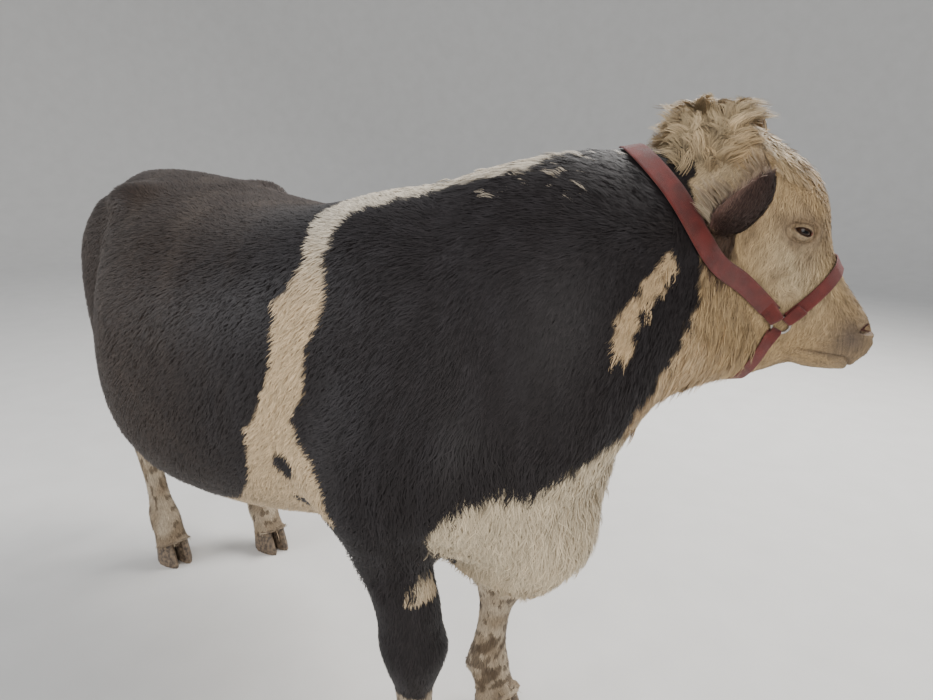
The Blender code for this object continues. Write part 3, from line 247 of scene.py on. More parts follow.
WIDEST_LINE = ((-1.02, 1.12), (-0.8, 1.07), (-0.5, 0.93), (-0.2, 0.875), (0.1, 0.91), (0.5, 0.96),
               (0.9, 0.9))
NECK_CREST = ((0.0, 0.4, 0.0, 1.32), (0.22, 0.6, 0.035, 1.382), (0.45, 0.72, 0.105, 1.412),
              (0.7, 0.81, 0.195, 1.422), (0.9, 0.885, 0.285, 1.42), (1.0, 0.935, 0.345, 1.405))
NECK_UNDER = ((0.0, 0.62, 0.0, 0.66), (0.22, 0.83, 0.0, 0.72), (0.45, 0.925, 0.025, 0.86),
              (0.7, 0.947, 0.118, 0.965), (0.9, 0.965, 0.256, 0.995), (1.0, 0.979, 0.358, 1.01))
NECK_HALF_WIDTH = ((0.0, 0.22), (0.22, 0.225), (0.45, 0.19), (0.7, 0.138), (0.9, 0.104), (1.0, 0.09))
THROAT = ((0.0, 1.055, 0.42, 1.06, 0.038, 0.048), (0.35, 1.000, 0.373, 1.08, 0.062, 0.092),
          (0.7, 0.953, 0.277, 1.1, 0.088, 0.116), (1.0, 0.92, 0.145, 1.11, 0.11, 0.14))
FORE_LIMB = ((0.03, 0.662, 0.16, 0.056, 0.06), (0.055, 0.652, 0.16, 0.05, 0.058),
             (0.1, 0.632, 0.16, 0.043, 0.052), (0.13, 0.617, 0.16, 0.052, 0.056),
             (0.155, 0.611, 0.16, 0.052, 0.052), (0.2, 0.612, 0.16, 0.043, 0.042),
             (0.32, 0.614, 0.165, 0.044, 0.042), (0.37, 0.618, 0.168, 0.06, 0.058),
             (0.42, 0.618, 0.168, 0.074, 0.07), (0.48, 0.61, 0.172, 0.074, 0.066),
             (0.55, 0.6, 0.18, 0.088, 0.073), (0.64, 0.572, 0.198, 0.105, 0.078),
             (0.74, 0.56, 0.222, 0.155, 0.1), (0.86, 0.575, 0.228, 0.195, 0.105),
             (0.98, 0.55, 0.215, 0.18, 0.098), (1.12, 0.5, 0.18, 0.145, 0.085),
             (1.24, 0.47, 0.12, 0.1, 0.07))
HIND_LIMB = ((0.03, -0.703, 0.145, 0.056, 0.06), (0.055, -0.715, 0.145, 0.05, 0.056),
             (0.1, -0.737, 0.146, 0.042, 0.05), (0.13, -0.753, 0.147, 0.051, 0.054),
             (0.16, -0.763, 0.148, 0.051, 0.05), (0.22, -0.78, 0.15, 0.041, 0.037),
             (0.34, -0.805, 0.156, 0.043, 0.037), (0.44, -0.826, 0.161, 0.056, 0.046),
             (0.5, -0.838, 0.165, 0.07, 0.054), (0.55, -0.83, 0.17, 0.08, 0.052),
             (0.61, -0.785, 0.178, 0.088, 0.056), (0.69, -0.722, 0.192, 0.145, 0.086),
             (0.78, -0.685, 0.194, 0.205, 0.108), (0.89, -0.705, 0.18, 0.248, 0.126),
             (1.00, -0.742, 0.16, 0.264, 0.138), (1.15, -0.76, 0.138, 0.245, 0.138),
             (1.27, -0.74, 0.105, 0.2, 0.115))
TAIL_PATH = ((0.0, -0.97, 0.0, 1.318), (0.06, -1.013, 0.0, 1.291), (0.14, -1.05, 0.0, 1.235),
             (0.32, -1.07, 0.0, 1.06), (0.6, -1.075, 0.0, 0.74), (1.0, -1.062, 0.0, 0.34))
TAIL_RADIUS = ((0.0, 0.04), (0.1, 0.034), (0.3, 0.026), (0.6, 0.018), (0.75, 0.022), (0.86, 0.018),
               (0.94, 0.008))
SIDE_MASSES = (((0.52, 0.165, 1.06), (0.14, 0.12, 0.27), -18), ((0.715, 0.185, 0.87), (0.12, 0.1, 0.15), 0),
               ((0.5, 0.245, 0.83), (0.15, 0.09, 0.15), 0), ((-0.55, 0.19, 1.255), (0.13, 0.095, 0.075), 0),
               ((-0.945, 0.1, 1.205), (0.075, 0.06, 0.08), 0),
               ((-0.76, 0.185, 1.13), (0.13, 0.09, 0.13), 0),
               ((-0.6, 0.024, 0.625), (0.052, 0.036, 0.115), 0))
BODY_MIDDLE_MASSES = (((-0.18, 0, 0.505), (0.17, 0.045, 0.055)), ((-0.935, 0, 1.305), (0.095, 0.055, 0.05)),
                      ((0.785, 0, 0.735), (0.14, 0.125, 0.15)), ((0.685, 0, 0.632), (0.19, 0.105, 0.105)))
DEWCLAW = (0.115, (-0.052, 0.024, 0.004), (0.019, 0.017, 0.026))
KNEE = (0.43, (0.018, 0.0, 0.0), (0.05, 0.056, 0.065))
POINT_OF_HOCK = (0.545, (-0.052, 0.0, 0.018), (0.026, 0.024, 0.062))
LEGS = {"front_right": (FORE_LIMB, -1, 0.0), "front_left": (FORE_LIMB, 1, -0.085),
        "hind_right": (HIND_LIMB, -1, 0.0), "hind_left": (HIND_LIMB, 1, 0.165)}
STEP_TOP = 0.95


def limb_shift(height, step):
    """How far a limb that stands forward or back of square is moved at a height."""
    part = np.clip(1 - height / STEP_TOP, 0, 1)
    return step * part * part * (3 - 2 * part)


def leg_place(leg, height):
    """The middle of a leg at a height."""
    keys, side, step = LEGS[leg]
    x, across, _, _ = read_line(keys, height)[0]
    return Vector((x + limb_shift(height, step), across * side, height))


def add_trunk(bm):
    """The barrel of the body, from buttocks to chest."""
    places = np.linspace(BACK_LINE[0][0], BACK_LINE[-1][0], 60)
    lines = [read_line(keys, places)[:, 0] for keys in (BACK_LINE, BELLY_LINE, HALF_WIDTH, WIDEST_LINE)]
    rings = []
    for x, top, low, half, centre in zip(places, *lines):
        rings.append(section((x, 0, centre), (0, 1, 0), (0, 0, 1), half, top - centre, centre - low, 2.35))
    add_loft(bm, rings)


def add_neck(bm):
    """The neck, and the loose skin of the throat below it."""
    places = np.linspace(0, 1, 26)
    crest = read_line(NECK_CREST, places)
    under = read_line(NECK_UNDER, places)
    width = read_line(NECK_HALF_WIDTH, places)[:, 0]
    middle = (crest + under) / 2
    rings = []
    for top, low, centre, way, half in zip(crest, under, middle, np.gradient(middle, axis=0), width):
        up = Vector(top) - Vector(low)
        side = up.cross(Vector(way)).normalized()
        rings.append(section(centre, side, up.normalized(), half, up.length / 2, up.length / 2, 2.1))
    add_loft(bm, rings)
    way = Vector((0.12, 0.27, 0.02)).normalized()
    side = Vector((0, 0, 1)).cross(way).normalized()
    rings = []
    for row in read_line(THROAT, np.linspace(0, 1, 14)):
        rings.append(section(row[:3], side, way.cross(side), row[3], row[4], row[4], 2.0, 24))
    add_loft(bm, rings)


def add_leg(bm, leg):
    """One leg from the hip or shoulder blade down, with dewclaws and knee or hock."""
    keys, side, step = LEGS[leg]
    heights = np.linspace(keys[0][0], keys[-1][0], 56)
    rings = []
    for height, (x, across, half_length, half_width) in zip(heights, read_line(keys, heights)):
        centre = (x + limb_shift(height, step), across * side, height)
        rings.append(section(centre, (1, 0, 0), (0, 1, 0), half_length, half_width, half_width, 2.15, 24))
    add_loft(bm, rings)
    joint = KNEE if keys is FORE_LIMB else POINT_OF_HOCK
    for (height, offset, size), across in ((DEWCLAW, -1), (DEWCLAW, 1), (joint, 0)):
        shift = Vector((offset[0], offset[1] * across, offset[2]))
        add_ball(bm, leg_place(leg, height) + shift, size)


def add_muscles(bm):
    """Muscles and bones that show through the skin of the trunk."""
    for (x, across, z), size, tilt in SIDE_MASSES:
        for side in (-1, 1):
            add_ball(bm, (x, across * side, z), size, Matrix.Rotation(math.radians(tilt), 3, "Y"))
    for place, size in BODY_MIDDLE_MASSES:
        add_ball(bm, place, size)


def add_tail(bm):
    """The tail as one tube along its bend."""
    places = np.linspace(0, 0.94, 30)
    path = read_line(TAIL_PATH, places)
    radius = read_line(TAIL_RADIUS, places)[:, 0]
    rings = []
    for point, way, size in zip(path, np.gradient(path, axis=0), radius):
        side = Vector((0, 1, 0))
        rings.append(section(point, side, Vector(way).normalized().cross(side), size, size, size, 2.0, 16))
    add_loft(bm, rings)


# %% [markdown]
# The skull is a loft between the line of the face and the line of the jaw. Egg-shaped
# masses add the brow over each eye, the cheeks, the puffs of the muzzle and the chin. A
# low mound on the poll carries the long hair, and it stays below half of the hair's
# height.

# %% Lines and masses of the head
FACE_LINE = ((-0.045, -0.06), (0.0, 0.004), (0.05, 0.04), (0.11, 0.066), (0.155, 0.077), (0.2, 0.072),
             (0.26, 0.05), (0.33, 0.04), (0.4, 0.045), (0.44, 0.048), (0.475, 0.034), (0.505, -0.012))
JAW_LINE = ((-0.045, -0.1), (0.0, -0.17), (0.1, -0.205), (0.2, -0.2), (0.3, -0.174), (0.38, -0.153),
            (0.44, -0.118), (0.475, -0.086), (0.505, -0.044))
HEAD_HALF_WIDTH = ((-0.045, 0.05), (0.0, 0.09), (0.05, 0.108), (0.12, 0.114), (0.2, 0.108), (0.28, 0.087),
                   (0.35, 0.072), (0.42, 0.069), (0.465, 0.063), (0.49, 0.046), (0.505, 0.028))
PAIRED_MASSES = (((0.2, 0.078, -0.004), (0.045, 0.036, 0.04)),
                 ((0.172, 0.066, 0.022), (0.05, 0.04, 0.034)),
                 ((0.19, 0.062, -0.12), (0.1, 0.046, 0.076)),
                 ((0.45, 0.038, -0.002), (0.042, 0.033, 0.04)),
                 ((0.43, 0.044, -0.046), (0.052, 0.031, 0.038)),
                 ((0.06, 0.07, -0.095), (0.06, 0.045, 0.055)))
MIDDLE_MASSES = (((0.442, 0, -0.08), (0.038, 0.044, 0.029)), ((0.47, 0, 0.006), (0.036, 0.036, 0.04)),
                 ((0.02, 0, -0.03), (0.05, 0.07, 0.05)))
POLL_CORE = Vector((0.925, 0.32, 1.432))
POLL_CORE_SIZE = (0.08, 0.074, 0.052)
EAR_ROOT = (0.134, 0.124, -0.146)
EAR_AXIS = (-0.5, 0.74, 0.45)
EAR_OPENS = (-0.832, -0.517, -0.201)
EAR_BASE_SIZE = (0.037, 0.037, 0.056)
EAR_LENGTH = 0.146
EAR_SEAT = 0.04
EAR_LEAN = 0.018
EAR_HALF_WIDTH = ((0.0, 0.027), (0.25, 0.041), (0.55, 0.055), (0.8, 0.044), (0.93, 0.027), (1.0, 0.01))
EAR_DEPTH = ((0.0, 0.027), (0.25, 0.041), (0.55, 0.042), (0.8, 0.026), (1.0, 0.006))


def add_head(bm):
    """Skull, cheeks, brows, muzzle, chin and the bases of the ears."""
    places = np.linspace(FACE_LINE[0][0], FACE_LINE[-1][0], 50)
    lines = [read_line(keys, places)[:, 0] for keys in (FACE_LINE, JAW_LINE, HEAD_HALF_WIDTH)]
    rings = []
    for along, top, low, half in zip(places, *lines):
        middle = low + (top - low) * 0.55
        ring = section((along, 0, middle), (0, 1, 0), (0, 0, 1), half, top - middle, middle - low, 2.25)
        rings.append([HEAD @ point for point in ring])
    add_loft(bm, rings)
    turn = HEAD.to_3x3()
    for place, radii in MIDDLE_MASSES:
        add_ball(bm, HEAD @ Vector(place), radii, turn)
    for side in (-1, 1):
        for place, radii in PAIRED_MASSES:
            add_ball(bm, on_head(place, side), radii, turn)
        upright = head_way(EAR_AXIS, side).to_track_quat("Z", "Y").to_matrix()
        add_ball(bm, on_head(EAR_ROOT, side), EAR_BASE_SIZE, upright)
    add_ball(bm, POLL_CORE, POLL_CORE_SIZE, Matrix.Rotation(HEAD_TURN, 3, "Z"))


# %% [markdown]
# A real skin runs over all of this without a seam. A voxel remesh wraps the masses in
# one closed surface, and smoothing then blends them, strongly on the body and little on
# the face and the lower legs. Cutting and joining the masses with Booleans would keep
# every crease, so the remesh is the better tool for flesh. At the end the skin is drawn
# in by the depth of the coat, because the solids reach to the tips of the hair.

# %% One skin over all the masses
VOXEL = 0.012
BODY_PASSES = 48
ALL_PASSES = 4
CORONET_HEIGHT = 0.066
CORONET_SLOPE = 0.36


def points_of(mesh):
    """The mesh's vertex places as an array."""
    co = np.empty(len(mesh.vertices) * 3)
    mesh.vertices.foreach_get("co", co)
    return co.reshape(-1, 3)


def normals_of(mesh):
    """The mesh's vertex normals as an array."""
    normals = np.empty(len(mesh.vertices) * 3)
    mesh.vertices.foreach_get("normal", normals)
    return normals.reshape(-1, 3)


def set_points(mesh, co):
    """Move the mesh's vertices."""
    mesh.vertices.foreach_set("co", np.ascontiguousarray(co, dtype=np.float32).ravel())
    mesh.update()


def ramp(values, start, end):
    """A smooth change from 0 at start to 1 at end."""
    part = np.clip((np.asarray(values, dtype=float) - start) / (end - start), 0.0, 1.0)
    return part * part * (3 - 2 * part)


def face_share(points):
    """1 on the face, 0 on neck and body, and a smooth change between."""
    centre = np.array(on_head((0.26, 0, -0.03)))
    reach = np.linalg.norm(points - centre, axis=1)
    return np.clip((0.4 - reach) / 0.14, 0.0, 1.0)


def body_share(points):
    """1 on the trunk, neck and thighs, 0 on the face and the lower legs."""
    return np.clip((points[:, 2] - 0.44) / 0.16, 0.0, 1.0) * (1 - face_share(points))


def smoothed(item, name, share, factor, passes):
    """Smooth the item, each vertex as much as its share says."""
    group = item.vertex_groups.new(name=name)
    for index, weight in enumerate(share):
        if weight > 0:
            group.add([index], weight, "REPLACE")
    smooth = item.modifiers.new(name, "SMOOTH")
    smooth.factor = factor
    smooth.iterations = passes
    smooth.vertex_group = group.name


def build_skin():
    """The masses, wrapped in one surface and blended."""
    bm = bmesh.new()
    for add in (add_trunk, add_neck, add_muscles, add_head, add_tail):
        add(bm)
    for leg in LEGS:
        add_leg(bm, leg)
    bmesh.ops.recalc_face_normals(bm, faces=bm.faces)
    skin = mesh_object("skin", bm)
    wrap = skin.modifiers.new("wrap", "REMESH")
    wrap.mode = "VOXEL"
    wrap.voxel_size = VOXEL
    applied(skin)
    points = points_of(skin.data)
    smoothed(skin, "body", body_share(points), 0.6, BODY_PASSES)
    smoothed(skin, "all", np.ones(len(points)), 0.6, ALL_PASSES)
    applied(skin)
    skin.vertex_groups.clear()
    return skin


def close_at_coronets(points):
    """End each leg in the slanted face on which its claws sit."""
    points = points.copy()
    for leg in LEGS:
        place = leg_place(leg, CORONET_HEIGHT)
        near = (np.abs(points[:, 0] - place.x) < 0.12) & (np.abs(points[:, 1] - place.y) < 0.09)
        floor = CORONET_HEIGHT - 0.002 + CORONET_SLOPE * (points[:, 0] - place.x)
        points[near, 2] = np.maximum(points[near, 2], floor[near])
    return points


def coat_depth(points):
    """How far the skin lies below the tips of the coat."""
    local = in_head(points)
    muzzle = ramp(local[:, 0], 0.36, 0.42) * (face_share(points) > 0.3)
    depth = 0.0065 * body_share(points) + 0.0022
    depth = depth * (1 - muzzle) + 0.0006 * muzzle
    return depth * ramp(points[:, 2], 0.06, 0.12)


skin = build_skin()
shape = close_at_coronets(points_of(skin.data))
set_points(skin.data, shape)
shape = shape - normals_of(skin.data) * coat_depth(shape)[:, None]
set_points(skin.data, shape)
print("skin", len(skin.data.polygons), "faces")

# %% [markdown]
# The folds of the face are too fine for the wrap: nostrils, mouth and the hollow in
# which each eye lies. The head's faces are split twice, and once more at the muzzle,
# and the points are then pushed in or out by small formulas of the head's own axes.
# Sculpting by formula keeps both sides alike, and each fold can be moved by one value.

# %% Finer faces on the head
EYE_LINE = (0.72, 0.0, 0.69)
EYE_OUT = (0.1, 1.0, 0.12)
LID_OPENING = (0.017, 0.0108)
NOSTRIL_PLACE = (0.441, 0.03)
MOUTH_CORNER = (0.408, -0.102)
MOUTH_RISE = 1.3
MOUTH_TOP = -0.026


def on_head_side(points):
    """How far points lie on the head's side of the throat: above 0 on the head."""
    return points[:, 0] * math.cos(math.radians(38)) + points[:, 1] * math.sin(math.radians(38)) - 0.835


def split_faces(item, chosen_by):
    """Split the faces whose middles the test picks."""
    bm = bmesh.new()
    bm.from_mesh(item.data)
    middles = np.array([face.calc_center_median() for face in bm.faces])
    picked = chosen_by(middles)
    edges = {edge for face, take in zip(bm.faces, picked) if take for edge in face.edges}
    bmesh.ops.subdivide_edges(bm, edges=list(edges), cuts=1, use_grid_fill=True)
    bm.to_mesh(item.data)
    bm.free()
    item.data.update()


def smooth_head(item, passes):
    """Round the facets that splitting leaves on the head."""
    points = points_of(item.data)
    smoothed(item, "head", ramp(on_head_side(points), 0.0, 0.03) * (points[:, 2] > 0.95), 0.5, passes)
    applied(item)
    item.vertex_groups.clear()


split_faces(skin, lambda middles: (on_head_side(middles) > 0.02) & (middles[:, 2] > 0.97))
smooth_head(skin, 2)
split_faces(skin, lambda middles: (on_head_side(middles) > 0.04) & (middles[:, 2] > 0.98))
smooth_head(skin, 2)
split_faces(skin, lambda middles: in_head(middles)[:, 0] > 0.392)
print("skin with a finer head", len(skin.data.polygons), "faces")

# %% Nostrils, mouth and eye hollows


def eye_axes(side):
    """Three directions at an eye: along the slit, up the lids, and out of the head."""
    out = head_way(EYE_OUT, side)
    along = head_way(EYE_LINE)
    along = (along - out * along.dot(out)).normalized()
    return along, along.cross(out) * side, out


def at_eye(points, side):
    """Points as rows of slit-wise, lid-wise and outward distance from an eye's middle."""
    centre = np.array(on_head(EYE_PLACE, side))
    return (points - centre) @ np.array(eye_axes(side)).T


def from_nostril(local):
    """How far points lie from a nostril's comma: below 1 inside it, and which side of it."""
    along, across, out = local.T
    x = along - NOSTRIL_PLACE[0]
    y = out - NOSTRIL_PLACE[1]
    u = x * 0.62 + y * 0.78
    v = -x * 0.78 + y * 0.62 + 14.0 * u * u
    reach = np.sqrt((u / 0.019) ** 2 + (v / 0.009) ** 2)
    return np.where(np.abs(across) > 0.026, reach, 9.0), v


def mouth_line(along):
    """Where the lips meet, out of the head, at a place along it."""
    line = MOUTH_CORNER[1] + MOUTH_RISE * (along - MOUTH_CORNER[0])
    return MOUTH_TOP - np.logaddexp(0, (MOUTH_TOP - line) * 150.0) / 150.0


def sculpt_nostrils(local):
    """Comma-shaped pits with a raised wing over each."""
    reach, v = from_nostril(local)
    pit = 1 - ramp(reach, 0.45, 1.05)
    wing = np.exp(-((reach - 1.35) / 0.32) ** 2) * (v < 0.004)
    return -0.016 * pit + 0.0024 * wing


def sculpt_mouth(local):
    """The line between the lips, and the small fold at its corner."""
    along, _, out = local.T
    off = out - mouth_line(along)
    open_part = ramp(along, MOUTH_CORNER[0] - 0.008, MOUTH_CORNER[0] + 0.012)
    groove = np.exp(-(off / 0.0026) ** 2) * open_part
    lower_lip = np.exp(-((off + 0.009) / 0.006) ** 2) * open_part
    upper_lip = np.exp(-((off - 0.008) / 0.006) ** 2) * open_part
    return -0.0036 * groove + 0.001 * lower_lip + 0.0012 * upper_lip


def sculpt_middle(local):
    """The groove between the nostrils, and shallow folds behind them."""
    along, across, out = local.T
    front = ramp(along, 0.455, 0.48) * ramp(out, -0.06, -0.02)
    groove = np.exp(-(across / 0.0028) ** 2) * front
    folds = np.sin((along * 0.8 - out * 0.6) * 420.0)
    folds = folds * ramp(along, 0.38, 0.4) * (1 - ramp(along, 0.425, 0.44))
    return -0.0022 * groove + 0.0005 * folds * (np.abs(across) > 0.035)


def sculpt_face(points, normals):
    """Every fold of the face as moved points."""
    local = in_head(points)
    push = sculpt_nostrils(local) + sculpt_mouth(local) + sculpt_middle(local)
    push = push * (local[:, 0] > 0.36)
    points = points + normals * push[:, None]
    for side in (-1, 1):
        eye = at_eye(points, side)
        reach = np.sqrt((eye[:, 0] / LID_OPENING[0]) ** 2 + (eye[:, 1] / LID_OPENING[1]) ** 2)
        near = (np.abs(eye[:, 2]) < 0.05) & (reach < 2.4)
        inner = 1 - ramp(reach, 1.0, 2.05)
        points = points - np.array(eye_axes(side)[2]) * (near * inner * 0.03)[:, None]
    return points


shape = points_of(skin.data)
shape = sculpt_face(shape, normals_of(skin.data))
set_points(skin.data, shape)
print("face folds", len(shape), "points")

# %% [markdown]
# The coat of this breed is dark with cream markings. Each marking is an outline in the
# side view, or a limit in the head's own axes, and a smooth noise makes its edge
# wander. The same function colours the skin and every tuft, so that the two agree.
# Painting on an image would need a map of the whole hide, and these outlines don't.

# %% Outlines of the markings
BAND_OUTLINE = ((0.31, 1.42), (0.352, 1.292), (0.397, 1.255), (0.429, 1.21), (0.419, 1.16), (0.386, 1.134),
                (0.401, 1.099), (0.404, 1.057), (0.401, 1.009), (0.379, 0.955), (0.35, 0.896), (0.318, 0.867),
                (0.317, 0.821), (0.297, 0.771), (0.252, 0.71), (0.15, 0.63), (0.0, 0.575), (-0.2, 0.555),
                (-0.42, 0.58), (-0.6, 0.62), (-0.64, 0.42), (0.62, 0.42), (0.585, 0.66), (0.55, 0.72),
                (0.54, 0.756), (0.534, 0.802), (0.513, 0.846), (0.465, 0.871), (0.449, 0.918), (0.482, 0.975),
                (0.481, 1.032), (0.489, 1.079), (0.509, 1.121), (0.504, 1.169), (0.476, 1.215), (0.461, 1.26),
                (0.468, 1.295), (0.498, 1.312), (0.536, 1.327), (0.601, 1.344), (0.677, 1.366), (0.76, 1.384),
                (0.79, 1.46))
SPOT_PLACE = (0.403, -0.328, 0.801)
SPOT_RADIUS = 0.029
EAR_PATCH_PLACE = (1.012, 0.19, 1.252)
EAR_PATCH_RADIUS = 0.046
BRISKET_OUTLINE = ((0.99, 1.00), (0.968, 0.945), (0.945, 0.921), (0.913, 0.881), (0.889, 0.858),
                   (0.866, 0.842), (0.844, 0.849), (0.826, 0.844), (0.808, 0.837), (0.781, 0.815),
                   (0.729, 0.745), (0.69, 0.69), (0.677, 0.64), (0.66, 0.6), (0.6, 0.58), (0.62, 0.42),
                   (1.2, 0.42), (1.2, 1.00))
BLAZE_OUTLINE = ((0.08, 1.246), (0.056, 1.214), (0.024, 1.182), (-0.002, 1.156), (-0.012, 1.124),
                 (-0.018, 1.104), (-0.036, 1.088), (-0.045, 1.1), (-0.043, 1.128), (-0.037, 1.158),
                 (-0.014, 1.182), (0.012, 1.2), (0.046, 1.23))
FACE_LIMIT = ((-0.62, 0.36), (-0.46, 0.327), (-0.37, 0.304), (-0.3, 0.264), (-0.235, 0.22), (-0.2, 0.185),
              (-0.18, 0.12), (-0.15, 0.05), (-0.11, 0.0), (-0.08, -0.045), (-0.02, -0.1))
BLACK_LEG_END = 0.31
PALE_LEG_TOP = {"front_left": 0.47, "hind_right": 0.5, "hind_left": 0.53}


def wander(points, size, seed):
    """Smooth noise from about -1 to 1, whose swells are about the given size."""
    chance = np.random.default_rng(seed)
    total = np.zeros(len(points))
    for _ in range(8):
        way = chance.normal(size=3)
        way = way / np.linalg.norm(way)
        wave = size * chance.uniform(0.6, 1.8)
        total = total + np.sin(points @ way * (2 * math.pi / wave) + chance.uniform(0, 2 * math.pi))
    return total / 3.2


def inside_by(flat, outline):
    """How far flat points lie inside an outline, in metres and below 0 outside."""
    corners = np.array(outline, dtype=float)
    nearest = np.full(len(flat), 9.0)
    crossed = np.zeros(len(flat), dtype=bool)
    for start, end in zip(corners, np.roll(corners, -1, axis=0)):
        edge = end - start
        part = np.clip(((flat - start) @ edge) / (edge @ edge), 0, 1)
        nearest = np.minimum(nearest, np.linalg.norm(flat - start - part[:, None] * edge, axis=1))
        spans = (start[1] > flat[:, 1]) != (end[1] > flat[:, 1])
        rise = edge[1] if abs(edge[1]) > 1e-9 else 1e-9
        cut = start[0] + (flat[:, 1] - start[1]) / rise * edge[0]
        crossed ^= spans & (flat[:, 0] < cut)
    return np.where(crossed, nearest, -nearest)


def leg_share(points, leg, top):
    """1 on one leg below a height, and 0 elsewhere."""
    keys, side, step = LEGS[leg]
    heights = np.clip(points[:, 2], keys[0][0], keys[-1][0])
    table = read_line(keys, heights)
    middle = table[:, 0] + limb_shift(heights, step)
    near = np.abs(points[:, 0] - middle) < table[:, 2] + 0.05
    near &= np.abs(points[:, 1] - side * table[:, 1]) < 0.11
    return near & (points[:, 2] < top)


def neck_line(points):
    """Where points lie on the neck: how far along it, and how far to its side."""
    places = np.linspace(0, 1, 40)
    middle = (read_line(NECK_CREST, places) + read_line(NECK_UNDER, places)) / 2
    step = np.argmin(((points[:, None, :2] - middle[None, :, :2]) ** 2).sum(axis=2), axis=1)
    way = np.gradient(middle, axis=0)[step]
    aside = np.stack((-way[:, 1], way[:, 0]), axis=1)
    aside = aside / np.linalg.norm(aside, axis=1)[:, None]
    return places[step], ((points[:, :2] - middle[step, :2]) * aside).sum(axis=1)


def cream_share(points):
    """1 where the coat is cream and 0 where it is dark, with a narrow change between."""
    flat = points[:, [0, 2]]
    local = in_head(points)
    edge = np.where(points[:, 1] > 0, 0.012, 0.0) * wander(points, 0.12, 11)
    edge += 0.004 * wander(points, 0.03, 12)
    cream = inside_by(flat, BAND_OUTLINE)
    spot = np.linalg.norm(points - np.array(SPOT_PLACE), axis=1) - SPOT_RADIUS
    cream = np.minimum(cream, spot)
    cream = np.maximum(cream, inside_by(flat, BRISKET_OUTLINE))
    blaze = inside_by(points[:, 1:], BLAZE_OUTLINE)
    cream = np.maximum(cream, np.where((points[:, 0] > 0.88) & (points[:, 1] < 0.1), blaze, -1.0))
    limit = read_line(FACE_LIMIT, np.clip(local[:, 2], -0.62, -0.02))[:, 0]
    face = np.where((local[:, 2] > -0.62) & (points[:, 0] > 0.8), (local[:, 0] - limit) * 0.7, -1.0)
    cream = np.maximum(cream, face)
    for leg in LEGS:
        near = leg_share(points, leg, 0.8)
        if leg == "front_right":
            inner = (points[:, 2] < 0.72) & (points[:, 1] < -0.1) & (points[:, 0] < 0.655)
            cream = np.where(near & (inner | (points[:, 2] < 0.56)), -0.05, cream)
            top = BLACK_LEG_END
        else:
            top = PALE_LEG_TOP[leg]
        cream = np.where(near, np.maximum(cream, (top - points[:, 2]) * 0.7), cream)
    tail = points[:, 0] < -1.03
    cream = np.where(tail & (points[:, 2] < 0.62), 0.05, cream)
    return ramp(cream + edge, -0.003, 0.003)


# %% [markdown]
# Neither colour is flat. The dark coat is blue-black on neck and shoulder and carries a
# painted brown sheen, with streaks of dust and painted sheen, on the quarters. The cream is
# painted whiter along the back as light from above, yellow-tan on the flank, grey-brown round
# the nostril and soiled low on the legs, with grey-brown painted shadow round the eyes, and
# painted shade in the nostrils, along the mouth and under the throat. Each tint below is
# mixed in by where it lies, and noise breaks it up.

# %% Tints of the coat, with painted light and shade
BLUE_BLACK = (0.013, 0.012, 0.0145)
# Painted brown sheen of the dark coat.
REAR_BROWN_SHEEN = (0.03, 0.019, 0.0135)
# Dust and painted sheen, in streaks on the quarters.
DUST_AND_SHEEN_BLACK = (0.062, 0.045, 0.034)
FLANK_CREAM = (0.56, 0.42, 0.255)
# Paler cream of the back: painted light from above.
LIT_BACK_CREAM = (0.6, 0.53, 0.42)
CHEST_CREAM = (0.6, 0.5, 0.35)
THROAT_CREAM = (0.52, 0.375, 0.215)
FACE_CREAM = (0.43, 0.3, 0.158)
FACE_STREAK = (0.23, 0.16, 0.092)
CHEEK_CREAM = (0.52, 0.415, 0.265)
POLL_CREAM = (0.5, 0.385, 0.235)
# Painted shadow round the eyes.
EYE_RING_SHADOW = (0.15, 0.1, 0.065)
MUZZLE_SHADE = (0.12, 0.088, 0.068)
# Dark reddish lining of the nostrils, with painted shade in their pits.
NOSTRIL_LINING_AND_SHADOW = (0.085, 0.026, 0.022)
EAR_PATCH_SHADE = (0.055, 0.028, 0.021)
SOIL = (0.09, 0.06, 0.036)
DRY_SOIL = (0.24, 0.175, 0.11)


def mixed(colours, tint, share):
    """Mix a tint into the colours by a share for each point."""
    share = np.clip(share, 0, 1)[:, None]
    return colours * (1 - share) + np.array(tint) * share


def dark_coat(points):
    """The dark part of the coat, with a painted brown sheen and streaks of dust and painted sheen on the
    quarters.
    """
    colours = np.tile(np.array(BLUE_BLACK), (len(points), 1))
    rear = 1 - ramp(points[:, 0], -0.15, 0.4)
    # Painted brown sheen: a little over all the dark coat, and most on the quarters.
    colours = mixed(colours, REAR_BROWN_SHEEN, 0.25 + 0.75 * rear)
    slant = points @ np.array([[1.0, 0, 0], [0, 0.4, 0], [0.9, 0, 0.25]])
    streak = np.clip(wander(slant, 0.06, 21) * 0.6 + wander(slant, 0.16, 22) * 0.5, 0, 1)
    high = ramp(points[:, 2], 0.7, 1.25)
    # Streaks of dust and painted sheen on the quarters, stronger higher up.
    colours = mixed(colours, DUST_AND_SHEEN_BLACK, streak * rear * (0.25 + 0.45 * high))
    shoulder = (1 - rear) * np.clip(wander(points * np.array([1.0, 1.0, 0.2]), 0.035, 23), 0, 1)
    return mixed(colours, (0.03, 0.026, 0.028), 0.35 * shoulder)


